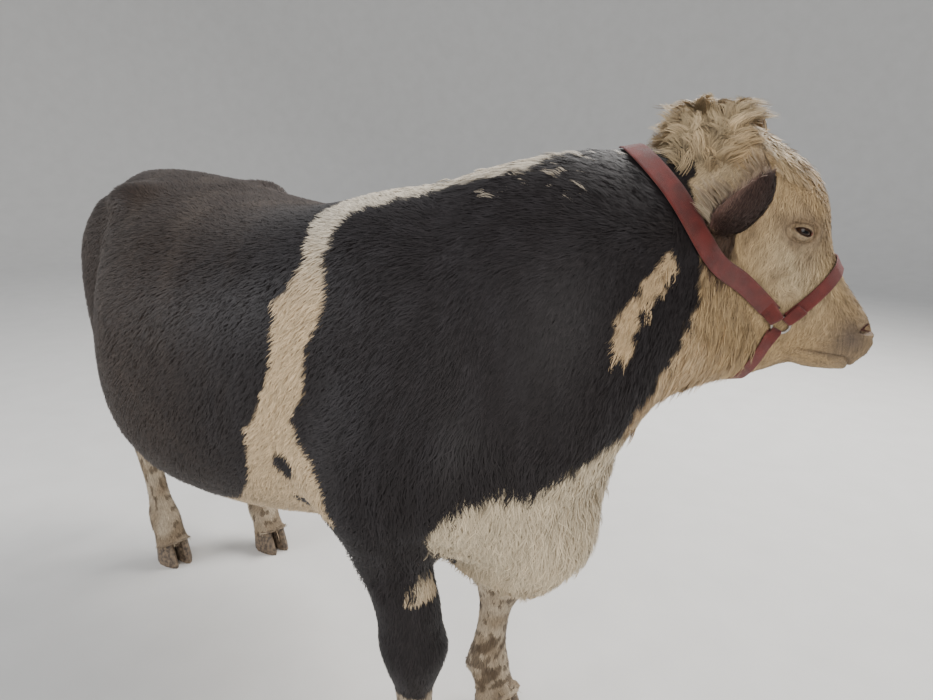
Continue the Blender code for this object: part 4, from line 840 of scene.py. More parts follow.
def pale_coat(points):
    """The cream part of the coat, with painted light along the back and painted shade round the eyes, along
    the mouth, in the nostrils and under the throat.
    """
    local = in_head(points)
    colours = np.tile(np.array(FLANK_CREAM), (len(points), 1))
    # Painted light from above: the cream is paler along the top of the back.
    colours = mixed(colours, LIT_BACK_CREAM, ramp(points[:, 2], 1.12, 1.3) * (points[:, 0] < 0.86))
    chest = ramp(points[:, 0], 0.6, 0.7) * (1 - ramp(points[:, 2], 0.93, 0.99))
    colours = mixed(colours, CHEST_CREAM, chest)
    under = chest * (1 - ramp(points[:, 2], 0.52, 0.66))
    colours = mixed(colours, (0.42, 0.31, 0.19), under * (0.6 + 0.4 * wander(points, 0.05, 31)))
    throat = ramp(points[:, 0], 0.86, 0.93) * ramp(points[:, 2], 0.93, 1.00)
    colours = mixed(colours, THROAT_CREAM, throat)
    # Painted shade: the underside of the throat is darker.
    throat_underside_shadow = throat * (1 - ramp(points[:, 2], 1.00, 1.06))
    colours = mixed(colours, (0.33, 0.225, 0.125), throat_underside_shadow * 0.7)
    face = ramp(on_head_side(points), 0.0, 0.05) * (local[:, 2] > -0.24) * (points[:, 2] > 0.96)
    colours = mixed(colours, FACE_CREAM, face)
    cheek = np.exp(-(((local[:, 0] - 0.26) / 0.085) ** 2 + ((local[:, 2] + 0.045) / 0.055) ** 2))
    colours = mixed(colours, CHEEK_CREAM, face * cheek * 0.9)
    poll = 1 - ramp(local[:, 0], 0.03, 0.13)
    colours = mixed(colours, POLL_CREAM, face * poll)
    streaks = wander(np.stack((local[:, 0] * 0.25, local[:, 1], local[:, 2] * 0.6), axis=1), 0.016, 32)
    colours = mixed(colours, FACE_STREAK, face * (1 - poll) * 0.5 * np.clip(streaks, 0, 1))
    for side in (-1, 1):
        eye = at_eye(points, side)
        ring = np.hypot(eye[:, 0] / 0.036, eye[:, 1] / 0.027)
        # Painted shadow in a ring round the eye.
        shade = np.exp(-(ring - 0.75) ** 2 / 0.35) * (np.abs(eye[:, 2]) < 0.06)
        colours = mixed(colours, EYE_RING_SHADOW, face * shade * 0.62)
        below = np.exp(-((eye[:, 0] - 0.04) / 0.018) ** 2 - ((eye[:, 1] + 0.035) / 0.045) ** 2)
        colours = mixed(colours, (0.25, 0.18, 0.115), face * below * 0.5 * (np.abs(eye[:, 2]) < 0.06))
    nose = np.exp(-((local[:, 0] - 0.44) / 0.046) ** 2 - ((local[:, 2] + 0.006) / 0.04) ** 2)
    colours = mixed(colours, MUZZLE_SHADE, face * nose * 0.9)
    # Painted shadow along the line between the lips.
    lips = np.exp(-((local[:, 2] - mouth_line(local[:, 0])) / 0.01) ** 2) * ramp(local[:, 0], 0.4, 0.43)
    colours = mixed(colours, MUZZLE_SHADE, face * lips * 0.45)
    # Dark reddish lining of the nostrils, with painted shade in their pits.
    colours = mixed(colours, NOSTRIL_LINING_AND_SHADOW, face * (1 - ramp(from_nostril(local)[0], 0.75, 1.15)))
    patch = np.linalg.norm(points - np.array(EAR_PATCH_PLACE), axis=1) - EAR_PATCH_RADIUS
    patch = 1 - ramp(patch + 0.01 * wander(points, 0.03, 36), -0.01, 0.01)
    colours = mixed(colours, EAR_PATCH_SHADE, patch * 0.92)
    legs = 1 - ramp(points[:, 2], 0.42, 0.56)
    colours = mixed(colours, (0.47, 0.385, 0.28), legs)
    low = 0.5 * ramp(-points[:, 2], -0.16, -0.05)
    soil = legs * np.clip(0.35 + 0.55 * wander(points, 0.07, 33) + low, 0, 1)
    colours = mixed(colours, DRY_SOIL, soil * 0.8)
    drops = legs * (wander(points, 0.028, 34) > 0.62)
    colours = mixed(colours, SOIL, drops * 0.75)
    return colours


def coat_colour(points):
    """The colour of the coat at each point, dark or cream."""
    share = cream_share(points)[:, None]
    colours = dark_coat(points) * (1 - share) + pale_coat(points) * share
    patch = leg_share(points, "front_left", 0.24) & (points[:, 2] > 0.1) & (wander(points, 0.05, 35) > 0.0)
    colours = mixed(colours, SOIL, patch * 0.8)
    return colours


def paint(mesh, name, colours):
    """Store a colour for each vertex."""
    layer = mesh.color_attributes.new(name=name, type="FLOAT_COLOR", domain="POINT")
    full = np.ones((len(colours), 4), dtype=np.float32)
    full[:, :3] = colours
    layer.data.foreach_set("color", full.ravel())


shape = points_of(skin.data)
paint(skin.data, "markings", coat_colour(shape))
print("cream share of the skin's points", round(float(cream_share(shape).mean()), 3))

# %% [markdown]
# Materials are small node trees. The skin under the fur takes its colour from the
# markings, darkened by fine noise as painted shade between the hairs, and its bump from the
# same noise, drawn out along the hair. A tuft takes its own colour from its points, with a
# soft sheen, because real hair glints along its length.
# Values that are the same all over a surface are set on the shader's own sockets.

# %% Helpers for materials


def new_material(name, roughness, specular=0.5):
    """An empty material with its shader's plain values set."""
    material = bpy.data.materials.new(name)
    material.use_nodes = True
    shader = material.node_tree.nodes["Principled BSDF"]
    shader.inputs["Roughness"].default_value = roughness
    shader.inputs["Specular IOR Level"].default_value = specular
    return material, material.node_tree, shader


def add_node(tree, kind, **values):
    """Add a node and set its inputs or properties by name."""
    node = tree.nodes.new(kind)
    for name, value in values.items():
        label = name.replace("_", " ")
        if label in node.inputs:
            node.inputs[label].default_value = value
        else:
            setattr(node, name, value)
    return node


def object_noise(tree, scale, detail=3.0, stretch=(1, 1, 1)):
    """Noise in the object's own space, which may be drawn out along an axis."""
    place = add_node(tree, "ShaderNodeTexCoord")
    mapping = add_node(tree, "ShaderNodeMapping")
    mapping.inputs["Scale"].default_value = stretch
    noise = add_node(tree, "ShaderNodeTexNoise", Scale=scale, Detail=detail)
    tree.links.new(place.outputs["Object"], mapping.inputs["Vector"])
    tree.links.new(mapping.outputs["Vector"], noise.inputs["Vector"])
    return noise.outputs["Fac"]


def remapped(tree, value, low, high, start, end):
    """Spread a value from one range to another."""
    node = add_node(tree, "ShaderNodeMapRange")
    for name, number in (("From Min", low), ("From Max", high), ("To Min", start), ("To Max", end)):
        node.inputs[name].default_value = number
    tree.links.new(value, node.inputs["Value"])
    return node.outputs["Result"]


def tinted(tree, colour, factor, low, high):
    """Darken and lighten a colour by a 0 to 1 pattern."""
    scale = remapped(tree, factor, 0.25, 0.75, low, high)
    node = add_node(tree, "ShaderNodeVectorMath", operation="SCALE")
    tree.links.new(colour, node.inputs[0])
    tree.links.new(scale, node.inputs["Scale"])
    return node.outputs["Vector"]


def two_tones(tree, factor, low, high, start=0.0, end=1.0):
    """Blend from one colour to another as a pattern rises."""
    node = add_node(tree, "ShaderNodeValToRGB")
    for element, place, colour in zip(node.color_ramp.elements, (start, end), (low, high)):
        element.position = place
        element.color = (*colour, 1)
    tree.links.new(factor, node.inputs["Fac"])
    return node.outputs["Color"]


def bumped(tree, shader, height, strength, distance):
    """Feed a height pattern to the shader's normal."""
    bump = add_node(tree, "ShaderNodeBump", Strength=strength, Distance=distance)
    tree.links.new(height, bump.inputs["Height"])
    tree.links.new(bump.outputs["Normal"], shader.inputs["Normal"])


def hide_material():
    """Skin under short fur: the coat's colours, with painted shade between the hairs."""
    material, tree, shader = new_material("hide", 0.72, 0.28)
    colour = add_node(tree, "ShaderNodeAttribute", attribute_name="markings")
    hairs = object_noise(tree, 260.0, 4.0, (1.0, 1.0, 0.16))
    # Painted shade: the coat's colour is darkened between the hairs by the fine noise.
    shade = tinted(tree, colour.outputs["Color"], hairs, 0.42, 1.1)
    tree.links.new(shade, shader.inputs["Base Color"])
    tree.links.new(remapped(tree, hairs, 0.3, 0.7, 0.58, 0.86), shader.inputs["Roughness"])
    bumped(tree, shader, hairs, 0.75, 0.0016)
    return material


def hair_material(name, roughness, sheen):
    """Hair: each tuft's own colour, soft glints and a slight fuzz of light."""
    material, tree, shader = new_material(name, roughness, 0.25)
    colour = add_node(tree, "ShaderNodeAttribute", attribute_name="tint")
    fine = object_noise(tree, 900.0, 2.0)
    shade = tinted(tree, colour.outputs["Color"], fine, 0.8, 1.16)
    tree.links.new(shade, shader.inputs["Base Color"])
    glint = remapped(tree, fine, 0.3, 0.7, roughness - 0.1, roughness + 0.12)
    tree.links.new(glint, shader.inputs["Roughness"])
    shader.inputs["Sheen Weight"].default_value = sheen
    shader.inputs["Sheen Roughness"].default_value = 0.45
    return material


HIDE = hide_material()
SHORT_HAIR = hair_material("short hair", 0.55, 0.04)
LONG_HAIR = hair_material("long hair", 0.5, 0.05)
print("coat materials ready")

# %% [markdown]
# Hair on this animal is far too fine to model one by one. A tuft of some tens of hairs
# is drawn as one thin tapered strip of a few points: wide near its root, pointed at
# its tip, and slightly bent. Roots are scattered evenly over the skin with seeded
# chance, so that each run gives the same coat. All the strips of a piece are one mesh,
# because the exported model keeps meshes, and not particle hair.

# %% Tools of the coat
TUFT_PATCH = 0.003


def read_triangles(mesh):
    """The mesh as arrays of places, triangles and vertex normals."""
    mesh.calc_loop_triangles()
    corners = np.empty(len(mesh.loop_triangles) * 3, dtype=np.int32)
    mesh.loop_triangles.foreach_get("vertices", corners)
    return points_of(mesh), corners.reshape(-1, 3), normals_of(mesh)


def scatter(places, corners, normals, weight, number, chance):
    """Roots spread over the triangles by area times weight, with their normals."""
    a, b, c = (places[corners[:, k]] for k in range(3))
    share = np.linalg.norm(np.cross(b - a, c - a), axis=1) * weight
    steps = np.cumsum(share)
    draw = (np.arange(number) + chance.random(number)) / number * steps[-1]
    picked = np.searchsorted(steps, draw)
    picked = np.minimum(picked, len(steps) - 1)
    u = chance.random(number)
    v = chance.random(number)
    over = u + v > 1
    u[over] = 1 - u[over]
    v[over] = 1 - v[over]
    w = 1 - u - v
    mix = np.stack((w, u, v), axis=1)[:, :, None]
    roots = (places[corners[picked]] * mix).sum(axis=1)
    ways = (normals[corners[picked]] * mix).sum(axis=1)
    return roots, ways / np.linalg.norm(ways, axis=1)[:, None]


def unit(ways):
    """Rows of unit length."""
    return ways / np.maximum(np.linalg.norm(ways, axis=1), 1e-9)[:, None]


def laid_flat(ways, normals):
    """Directions turned into the skin's own plane."""
    return unit(ways - normals * (ways * normals).sum(axis=1)[:, None])


def strip_points(roots, normals, ways, length, width, lift, curl, chance, stations=3):
    """Points of tapered strips: rows of tufts, stations and two edges."""
    number = len(roots)
    side = np.cross(ways, normals)
    phase = chance.uniform(0, 2 * math.pi, number)
    turns = chance.uniform(0.6, 1.4, number)
    parts = np.linspace(0, 1, stations)
    middles = np.empty((number, stations, 3))
    for index, part in enumerate(parts):
        rise = lift * (2 * part - part * part) - 0.0008 * (1 - part)
        swing = curl * part * np.sin(2 * math.pi * part * turns + phase)
        middles[:, index] = (roots + ways * (length * part)[:, None] + normals * rise[:, None]
                             + side * swing[:, None])
    taper = (0.75 + 0.9 * parts) * (1 - parts ** 2.2)
    twist = chance.uniform(-0.5, 0.5, number)
    edge = side * np.cos(twist)[:, None] + normals * np.sin(twist)[:, None]
    half = width[:, None] * taper[None, :] * 0.5
    return middles, edge, half


def coat_mesh(name, middles, edges, half, normals, colours, places, material, root_painted_shade=0.8):
    """One mesh of strips, with colours, painted shade at the roots and painted light at the tips, bent
    normals and a place for each tuft to bake.
    """
    number, stations, _ = middles.shape
    left = middles - edges[:, None] * half[:, :, None]
    right = middles + edges[:, None] * half[:, :, None]
    rows = np.stack((left, right), axis=2)[:, :-1].reshape(number, -1, 3)
    points = np.concatenate((rows, middles[:, -1:]), axis=1)
    per = points.shape[1]
    quads = []
    for index in range(stations - 2):
        low = 2 * index
        quads.append((low, low + 1, low + 3, low + 2))
    quads = np.array(quads)
    last = np.array((per - 3, per - 2, per - 1))
    starts = np.arange(number)[:, None] * per
    quad_corners = (starts[:, :, None] + quads[None]).reshape(number, -1)
    corners = np.concatenate((quad_corners, starts + last[None]), axis=1).ravel()
    sizes = np.tile(np.array([4] * len(quads) + [3]), number)
    begins = np.concatenate(([0], np.cumsum(sizes)[:-1]))
    mesh = bpy.data.meshes.new(name)
    mesh.vertices.add(number * per)
    mesh.loops.add(len(corners))
    mesh.polygons.add(len(sizes))
    mesh.vertices.foreach_set("co", points.astype(np.float32).ravel())
    mesh.loops.foreach_set("vertex_index", corners.astype(np.int32))
    mesh.polygons.foreach_set("loop_start", begins.astype(np.int32))
    mesh.update(calc_edges=True)
    # Painted shade towards each tuft's root, and painted light at its tip.
    shade = np.interp(np.repeat(np.linspace(0, 1, stations), 2)[:-1], (0, 0.35, 1), (root_painted_shade, 0.95, 1.12))
    tint = (colours[:, None, :] * shade[None, :, None]).reshape(-1, 3)
    paint(mesh, "tint", np.clip(tint, 0, 1))
    spread = np.empty((per, 2))
    spread[:, 1] = np.repeat(np.linspace(-0.5, 0.5, stations), 2)[:-1]
    spread[:, 0] = np.tile((-0.5, 0.5), stations)[:per]
    spread[-1, 0] = 0.0
    flat = (places[:, None, :] + spread[None] * TUFT_PATCH).reshape(-1, 2)
    layer = mesh.uv_layers.new(name="OFBake")
    layer.data.foreach_set("uv", flat[corners].astype(np.float32).ravel())
    soft = np.repeat(normals[:, None, :], per, axis=1).reshape(-1, 3)
    mesh.polygons.foreach_set("use_smooth", np.ones(len(sizes), dtype=bool))
    mesh.normals_split_custom_set_from_vertices(soft.astype(np.float32))
    mesh.materials.append(material)
    made = bpy.data.objects.new(name, mesh)
    bpy.context.scene.collection.objects.link(made)
    print(name, number, "tufts,", number * (2 * stations - 3), "triangles")
    return made


# %% [markdown]
# Each part of the animal has its own unwrap for the bake: the angle round the part is
# one side of the square, and the distance along it is the other. The coat's pieces
# follow the same parts, so a tuft's patch never meets another part's.

# %% Parts of the coat and their unwraps


def squeezed(values):
    """Values kept clear of the edge of the unit square."""
    return np.clip(values, 0.004, 0.996)


def round_place(sideways, upwards, along, start, end):
    """An unwrap round an axis: angle, and distance along the axis."""
    angle = np.arctan2(sideways, upwards) / (2 * math.pi) + 0.5
    return np.stack((squeezed(angle), squeezed((along - start) / (end - start))), axis=1)


def unwrap_head(points):
    """Round the head, and along the face."""
    local = in_head(points)
    return round_place(local[:, 1], local[:, 2] + 0.07, local[:, 0], -0.12, 0.54)


def unwrap_neck(points):
    """Round the neck, and along the body."""
    return round_place(points[:, 1] - 0.1, points[:, 2] - 1.15, points[:, 0], 0.5, 1.06)


def unwrap_trunk(points):
    """Round the barrel, and along it."""
    return round_place(points[:, 1], points[:, 2] - 0.92, points[:, 0], -1.08, 1.00)


def unwrap_tail(points):
    """Round the tail, and up it."""
    return round_place(points[:, 1], points[:, 0] + 1.07, points[:, 2], 0.15, 1.4)


def unwrap_legs(points):
    """Round each leg in its own quarter of the square, and up it."""
    flat = np.zeros((len(points), 2))
    for index, leg in enumerate(LEGS):
        keys, side, step = LEGS[leg]
        table = read_line(keys, np.clip(points[:, 2], keys[0][0], keys[-1][0]))
        middle = table[:, 0] + limb_shift(points[:, 2], step)
        place = round_place(points[:, 0] - middle, points[:, 1] - side * table[:, 1], points[:, 2], 0.0, 0.9)
        mine = (np.sign(points[:, 1]) == side) & ((points[:, 0] > 0) == (keys is FORE_LIMB))
        place[:, 0] = (index + squeezed(place[:, 0])) / 4
        flat[mine] = place[mine]
    return flat


def part_of(points):
    """Which part of the animal each point belongs to."""
    head = (on_head_side(points) > 0) & (points[:, 2] > 0.95)
    neck = (points[:, 0] * 0.851 + points[:, 2] * 0.525 > 1.2286) & ~head & (points[:, 2] > 0.93)
    tail = (points[:, 0] < -0.985) & (np.abs(points[:, 1]) < 0.05) & (points[:, 2] < 1.31)
    legs = (points[:, 2] < 0.6) & ~(np.abs(points[:, 1]) < 0.055) & ~neck & ~head
    belly_x = (points[:, 0] > -0.52) & (points[:, 0] < 0.42)
    legs &= ~belly_x
    return np.select((head, neck, tail, legs), ("head", "neck", "tail", "legs"), "trunk")


def lie_of_coat(points, parts):
    """The way the hair lies, before it is turned into the skin's plane."""
    ways = np.tile((-0.8, 0.0, -0.6), (len(points), 1))
    high = ramp(points[:, 2], 1.18, 1.34)[:, None]
    trunk_way = np.array((-0.62, 0.0, -0.78)) * (1 - high) + np.array((-1.0, 0.0, -0.1)) * high
    chest = (ramp(points[:, 0], 0.55, 0.75) * (1 - ramp(points[:, 2], 0.9, 1.1)))[:, None]
    trunk_way = trunk_way * (1 - chest) + np.array((-0.15, 0.0, -1.0)) * chest
    neck_way = np.array((-0.42, -0.25, -0.86)) * (1 - high) + np.array((-0.95, -0.3, -0.25)) * high
    leg_way = np.array((-0.12, 0.0, -1.0))
    tail_way = np.array((-0.05, 0.0, -1.0))
    for part, way in (("trunk", trunk_way), ("neck", neck_way)):
        ways[parts == part] = way[parts == part]
    ways[parts == "legs"] = leg_way
    ways[parts == "tail"] = tail_way
    head = parts == "head"
    ways[head] = lie_of_face(points[head])
    sway = np.stack([wander(points, 0.2, 40 + axis) for axis in range(3)], axis=1)
    return ways + sway * 0.16


WHORL_PLACE = (0.304, -0.078)


def lie_of_face(points):
    """On the face the hair runs down from the forehead and up towards the poll."""
    local = in_head(points)
    along, across, out = local.T
    up = 1 - ramp(along, 0.1, 0.2)
    down = 1.0 - 1.9 * up * ramp(out, -0.03, 0.03)
    way = np.stack((down, 0.3 * np.sign(across) * up, np.full(len(local), -0.25)), axis=1)
    cheek = ramp(-out, -0.02, 0.05)[:, None]
    way = way * (1 - cheek) + np.array((0.42, 0.0, -0.9)) * cheek
    x = along - WHORL_PLACE[0]
    z = out - WHORL_PLACE[1]
    whorl = np.exp(-(x * x + z * z) / 0.034 ** 2)[:, None]
    swirl = np.stack((z * 20 + x * 8, np.zeros(len(local)), -x * 20 + z * 8), axis=1)
    way = way * (1 - whorl) + swirl * whorl * 1.6
    muzzle = ramp(along, 0.41, 0.45)[:, None]
    way = way * (1 - muzzle) + np.array((-0.6, 0.0, -0.5)) * muzzle
    return way @ HEAD_AXES.T


print("lie of the coat ready")

# %% [markdown]
# Every piece is drawn in the animal's frame, then moved onto the solids and tied to the
# one rigid body. The skin stands for all the solids of flesh, the ears and the tail, which
# then stay for collision only.

# %% Settle the skin
FLESH_NODES = ("head", "neck", "torso", "tail", "leg_front_right", "leg_front_left", "leg_hind_right",
               "leg_hind_left")


def settle(item, nodes=()):
    item.data.transform(Matrix.Translation(SHIFT))
    item.data.update()
    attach(item, "root")
    if nodes:
        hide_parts(*nodes)
    return item


def smooth_shaded(item):
    """Shade the faces smoothly."""
    item.data.polygons.foreach_set("use_smooth", [True] * len(item.data.polygons))
    return item


SKIN_PLACES, SKIN_TRIANGLES, SKIN_NORMALS = read_triangles(skin.data)
SKIN_TREE = BVHTree.FromPolygons(SKIN_PLACES.tolist(), SKIN_TRIANGLES.tolist())
skin.data.materials.append(HIDE)
smooth_shaded(skin)
print("skin triangles", len(SKIN_TRIANGLES))

# %% [markdown]
# An ear is a leaf of gristle rolled into a cup. Its section is a curved wall, closed at
# the root and opening towards the tip. The wall is lofted from many sections, so that
# the rim is thin and even. Its back is dark, its rim pinkish, and its hollow is pale.

# %% Ears
EAR_STATIONS = 34
EAR_HALF_RING = 21
EAR_WALL = 0.0045
EAR_BACK = (0.04, 0.022, 0.018)
EAR_RIM = (0.3, 0.165, 0.13)
EAR_HOLLOW = (0.26, 0.19, 0.14)


def ear_turn(side):
    """The frame of an ear: along it, across it, and out of its cup."""
    axis = head_way(EAR_AXIS, side)
    opens = head_way(EAR_OPENS, side)
    opens = (opens - axis * opens.dot(axis)).normalized()
    across = opens.cross(axis)
    turn = Matrix((axis, across, opens)).transposed().to_4x4()
    return Matrix.Translation(on_head(EAR_ROOT, side) + axis * EAR_SEAT) @ turn


def ear_section(part, half=EAR_HALF_RING):
    """One section of the ear's wall: its back, then its hollow, across the ear."""
    width = read_line(EAR_HALF_WIDTH, part)[0, 0] - 0.0015
    depth = read_line(EAR_DEPTH, part)[0, 0] - 0.0012
    hollow = min(max(part, 0.0) / 0.22, 1.0)
    front = depth * (1 - hollow) - (depth - EAR_WALL) * hollow
    ring = []
    for index in range(half):
        angle = -math.pi / 2 + math.pi * index / (half - 1)
        ring.append((-depth * math.cos(angle), width * math.sin(angle)))
    for index in range(1, half - 1):
        angle = math.pi / 2 - math.pi * index / (half - 1)
        reach = width - EAR_WALL * 0.6 * hollow
        ridge = 0.0012 * math.sin(angle * 9.0) * hollow * math.cos(angle)
        ring.append((front * math.cos(angle) + ridge, reach * math.sin(angle)))
    lean = EAR_LEAN * part * abs(part)
    return [Vector((part * EAR_LENGTH, y, x - lean)) for x, y in ring]


def make_ear(side, word):
    """A cupped ear whose root runs into the head."""
    bm = bmesh.new()
    place = ear_turn(side)
    parts = np.concatenate((np.linspace(-0.26, 0, 7)[:-1], np.linspace(0, 1, EAR_STATIONS)))
    rings = []
    for part in parts:
        ring = ear_section(max(part, 0.0))
        shift = Vector((min(part, 0.0) * EAR_LENGTH, 0, 0))
        rings.append([place @ (point + shift) for point in ring])
    add_loft(bm, rings)
    bmesh.ops.recalc_face_normals(bm, faces=bm.faces)
    ear = smooth_shaded(mesh_object("ear_skin_" + word, bm))
    local = np.array([place.inverted() @ Vector(point) for point in points_of(ear.data)])
    count = 2 * EAR_HALF_RING - 2
    index = np.arange(len(local)) % count
    back = index < EAR_HALF_RING
    rims = [np.exp(-((index - rim) / 1.4) ** 2) for rim in (0, EAR_HALF_RING - 1, count)]
    rim = np.max(rims, axis=0) * (local[:, 0] > 0.01)
    colours = np.where(back[:, None], np.array(EAR_BACK), np.array(EAR_HOLLOW))
    colours = mixed(colours, (0.07, 0.045, 0.04), 0.6 * (wander(local, 0.03, 61) > 0.1) * ~back)
    colours = mixed(colours, EAR_RIM, rim)
    root = 1 - ramp(local[:, 0], -0.03, 0.02)
    colours = colours * (1 - root[:, None]) + coat_colour(points_of(ear.data)) * root[:, None]
    paint(ear.data, "markings", colours)
    ear.data.materials.append(HIDE)
    return ear


ears = {side: make_ear(side, word) for side, word in SIDES}
print("ears", [len(ear.data.polygons) for ear in ears.values()])

# %% [markdown]
# A bull's eye is a dark ball with a brown iris and a long level pupil, and only its
# middle shows. The lids are folds of skin that wrap it: a thick rim, a crease above it,
# and soft folds that run out into the face. They are a ring-shaped mesh, laid from the
# edge of the opening to the skin round it, which is finer than the skin could be.

# %% Eyes
IRIS_BROWN = (0.03, 0.014, 0.007)
WHITE_OF_EYE = (0.25, 0.17, 0.14)
PUPIL_BLACK = (0.0015, 0.0015, 0.002)


def eye_material():
    """Wet and dark, with a clear layer over the iris."""
    material, tree, shader = new_material("wet eye", 0.1, 0.15)
    colour = add_node(tree, "ShaderNodeAttribute", attribute_name="markings")
    fibres = object_noise(tree, 700.0, 2.0)
    shade = tinted(tree, colour.outputs["Color"], fibres, 0.7, 1.3)
    tree.links.new(shade, shader.inputs["Base Color"])
    shader.inputs["Coat Weight"].default_value = 0.2
    shader.inputs["Coat Roughness"].default_value = 0.03
    return material


def make_eye(side, word, material):
    """An eyeball with a slight bulge of the cornea."""
    bm = bmesh.new()
    add_ball(bm, (0, 0, 0), (1, 1, 1), None, 64)
    ball = smooth_shaded(mesh_object("eyeball_" + word, bm))
    points = points_of(ball.data)
    flat = np.hypot(points[:, 0], points[:, 1])
    front = points[:, 2] > 0
    iris = (1 - ramp(flat, 0.8, 0.88)) * front
    pupil = (1 - ramp(np.hypot(points[:, 0] / 0.36, points[:, 1] / 0.17), 0.8, 1.1)) * front
    colours = np.tile(np.array(WHITE_OF_EYE), (len(points), 1))
    colours = mixed(colours, IRIS_BROWN, iris)
    colours = mixed(colours, (0.008, 0.005, 0.004), iris * np.exp(-((flat - 0.8) / 0.07) ** 2))
    colours = mixed(colours, PUPIL_BLACK, pupil)
    paint(ball.data, "markings", colours)
    bulge = 1 + 0.05 * (1 - ramp(flat, 0.2, 0.75)) * front
    along, up, out = eye_axes(side)
    turn = np.array((along, up, out))
    centre = np.array(on_head(EYE_PLACE, side))
    set_points(ball.data, (points * bulge[:, None] * (EYE_RADIUS - 0.0006)) @ turn + centre)
    ball.data.materials.append(material)
    return ball


EYE_WET = eye_material()
eyes = {side: make_eye(side, word, EYE_WET) for side, word in SIDES}
print("eyes", [len(eye.data.polygons) for eye in eyes.values()])

# %% Lids
LID_STEPS = 72
LID_RINGS = 26
LID_REACH = 2.75
LID_SLIT = 0.6
LID_SPREAD = 0.88
LID_RIM_COLOUR = (0.06, 0.036, 0.03)
LOWER_LID_COLOUR = (0.48, 0.37, 0.24)
TEAR_CORNER_COLOUR = (0.23, 0.075, 0.055)


def lid_outline(angle, scale):
    """A point of the slit between the lids, or of a wider one round it."""
    x = math.cos(angle)
    y = math.sin(angle)
    almond = abs(y) ** 1.25 * (1 if y > 0 else -1)
    blend = min(max((scale - 1) / 0.9, 0), 1)
    y = almond * (1 - blend) + y * blend
    droop = -0.0016 * (1 - blend) * x
    height = LID_SLIT * (1 - blend) + LID_SPREAD * blend
    return x * LID_OPENING[0] * 0.93 * scale, y * LID_OPENING[1] * height * scale + droop


def lid_height(angle, scale, skin_height):
    """How far out the lid lies: over the ball near the slit, and on the skin far out."""
    x, y = lid_outline(angle, scale)
    flat = min(math.hypot(x, y), EYE_RADIUS * 0.985)
    over_ball = math.sqrt(EYE_RADIUS ** 2 - flat ** 2)
    upper = max(math.sin(angle), 0.0)
    lower = max(-math.sin(angle), 0.0)
    rim = 0.0034 * math.exp(-((scale - 1.1) / 0.16) ** 2)
    body = 0.0036 * math.exp(-((scale - 1.42) / 0.26) ** 2) * (0.55 + 0.6 * upper)
    crease = -0.003 * math.exp(-((scale - 1.66) / 0.085) ** 2) * upper
    crease -= 0.0018 * math.exp(-((scale - 1.5) / 0.08) ** 2) * lower
    fold = 0.003 * math.exp(-((scale - 1.92) / 0.17) ** 2) * upper
    fold += 0.0018 * math.exp(-((scale - 1.72) / 0.13) ** 2) * lower
    outer = (scale - 1.9) / 0.8
    fine = 0.0006 * math.sin(scale * 26) * min(max(outer * 2.7, 0), 1) * max(1 - outer, 0)
    start = over_ball + 0.0004
    blend = min(max((scale - 1.05) / (LID_REACH - 1.15), 0), 1)
    blend = blend * blend * (3 - 2 * blend)
    base = start * (1 - blend) + skin_height * blend
    tuck = -0.0012 * min(max((1.03 - scale) / 0.08, 0), 1)
    return base + rim + body + crease + fold + fine + tuck


def make_lids(side, word):
    """Both lids of an eye as one ring of skin."""
    centre = on_head(EYE_PLACE, side)
    along, up, out = eye_axes(side)
    scales = 0.95 + (LID_REACH - 0.95) * np.linspace(0, 1, LID_RINGS) ** 1.25
    far = []
    for step in range(LID_STEPS):
        angle = 2 * math.pi * step / LID_STEPS
        x, y = lid_outline(angle, LID_REACH)
        origin = centre + along * x + up * y + out * 0.09
        hit = SKIN_TREE.ray_cast(origin, -out)[0]
        far.append((hit - centre).dot(out) if hit else 0.0)
    far = np.array(far)
    far = (np.roll(far, 1) + far + np.roll(far, -1)) / 3
    bm = bmesh.new()
    rows = []
    for scale in scales:
        row = []
        for step in range(LID_STEPS):
            angle = 2 * math.pi * step / LID_STEPS
            x, y = lid_outline(angle, scale)
            sink = -0.0008 * ramp(scale, LID_REACH - 0.25, LID_REACH)
            height = lid_height(angle, scale, far[step]) + float(sink)
            row.append(bm.verts.new(centre + along * x + up * y + out * height))
        rows.append(row)
    for inner, outer in zip(rows, rows[1:]):
        for step in range(LID_STEPS):
            after = (step + 1) % LID_STEPS
            bm.faces.new((inner[step], inner[after], outer[after], outer[step]))
    lids = smooth_shaded(mesh_object("lids_" + word, bm))
    lids.data.update()
    if sum((face.normal.dot(out) for face in lids.data.polygons)) < 0:
        lids.data.flip_normals()
    points = points_of(lids.data)
    colours = coat_colour(points)
    eye = at_eye(points, side)
    scale = np.repeat(scales, LID_STEPS)
    colours = mixed(colours, LID_RIM_COLOUR, np.exp(-((scale - 1.02) / 0.1) ** 2))
    # Painted shade in the crease above the upper lid.
    crease = np.exp(-((scale - 1.64) / 0.07) ** 2) * (eye[:, 1] > 0)
    colours = mixed(colours, (0.12, 0.075, 0.05), 0.7 * crease)
    pale = ramp(scale, 1.12, 1.22) * (1 - ramp(scale, 1.42, 1.6)) * ramp(-eye[:, 1], 0.0, 0.005)
    colours = mixed(colours, LOWER_LID_COLOUR, 0.8 * pale)
    corner = np.exp(-((eye[:, 0] - LID_OPENING[0]) / 0.004) ** 2 - (eye[:, 1] / 0.004) ** 2)
    colours = mixed(colours, TEAR_CORNER_COLOUR, corner)
    paint(lids.data, "markings", colours)
    lids.data.materials.append(HIDE)
    return lids


lids = {side: make_lids(side, word) for side, word in SIDES}
print("lids", [len(lid.data.polygons) for lid in lids.values()])

# %% [markdown]
# Claws are horn, worn matt, with fine ridges that run round them like the rings of a
# nail. The solids already have their true shape, so they stay, and only the horn is
# added: a dark base mottled with dried soil, ridges from a wave pattern and a rough bump.

# %% Claws


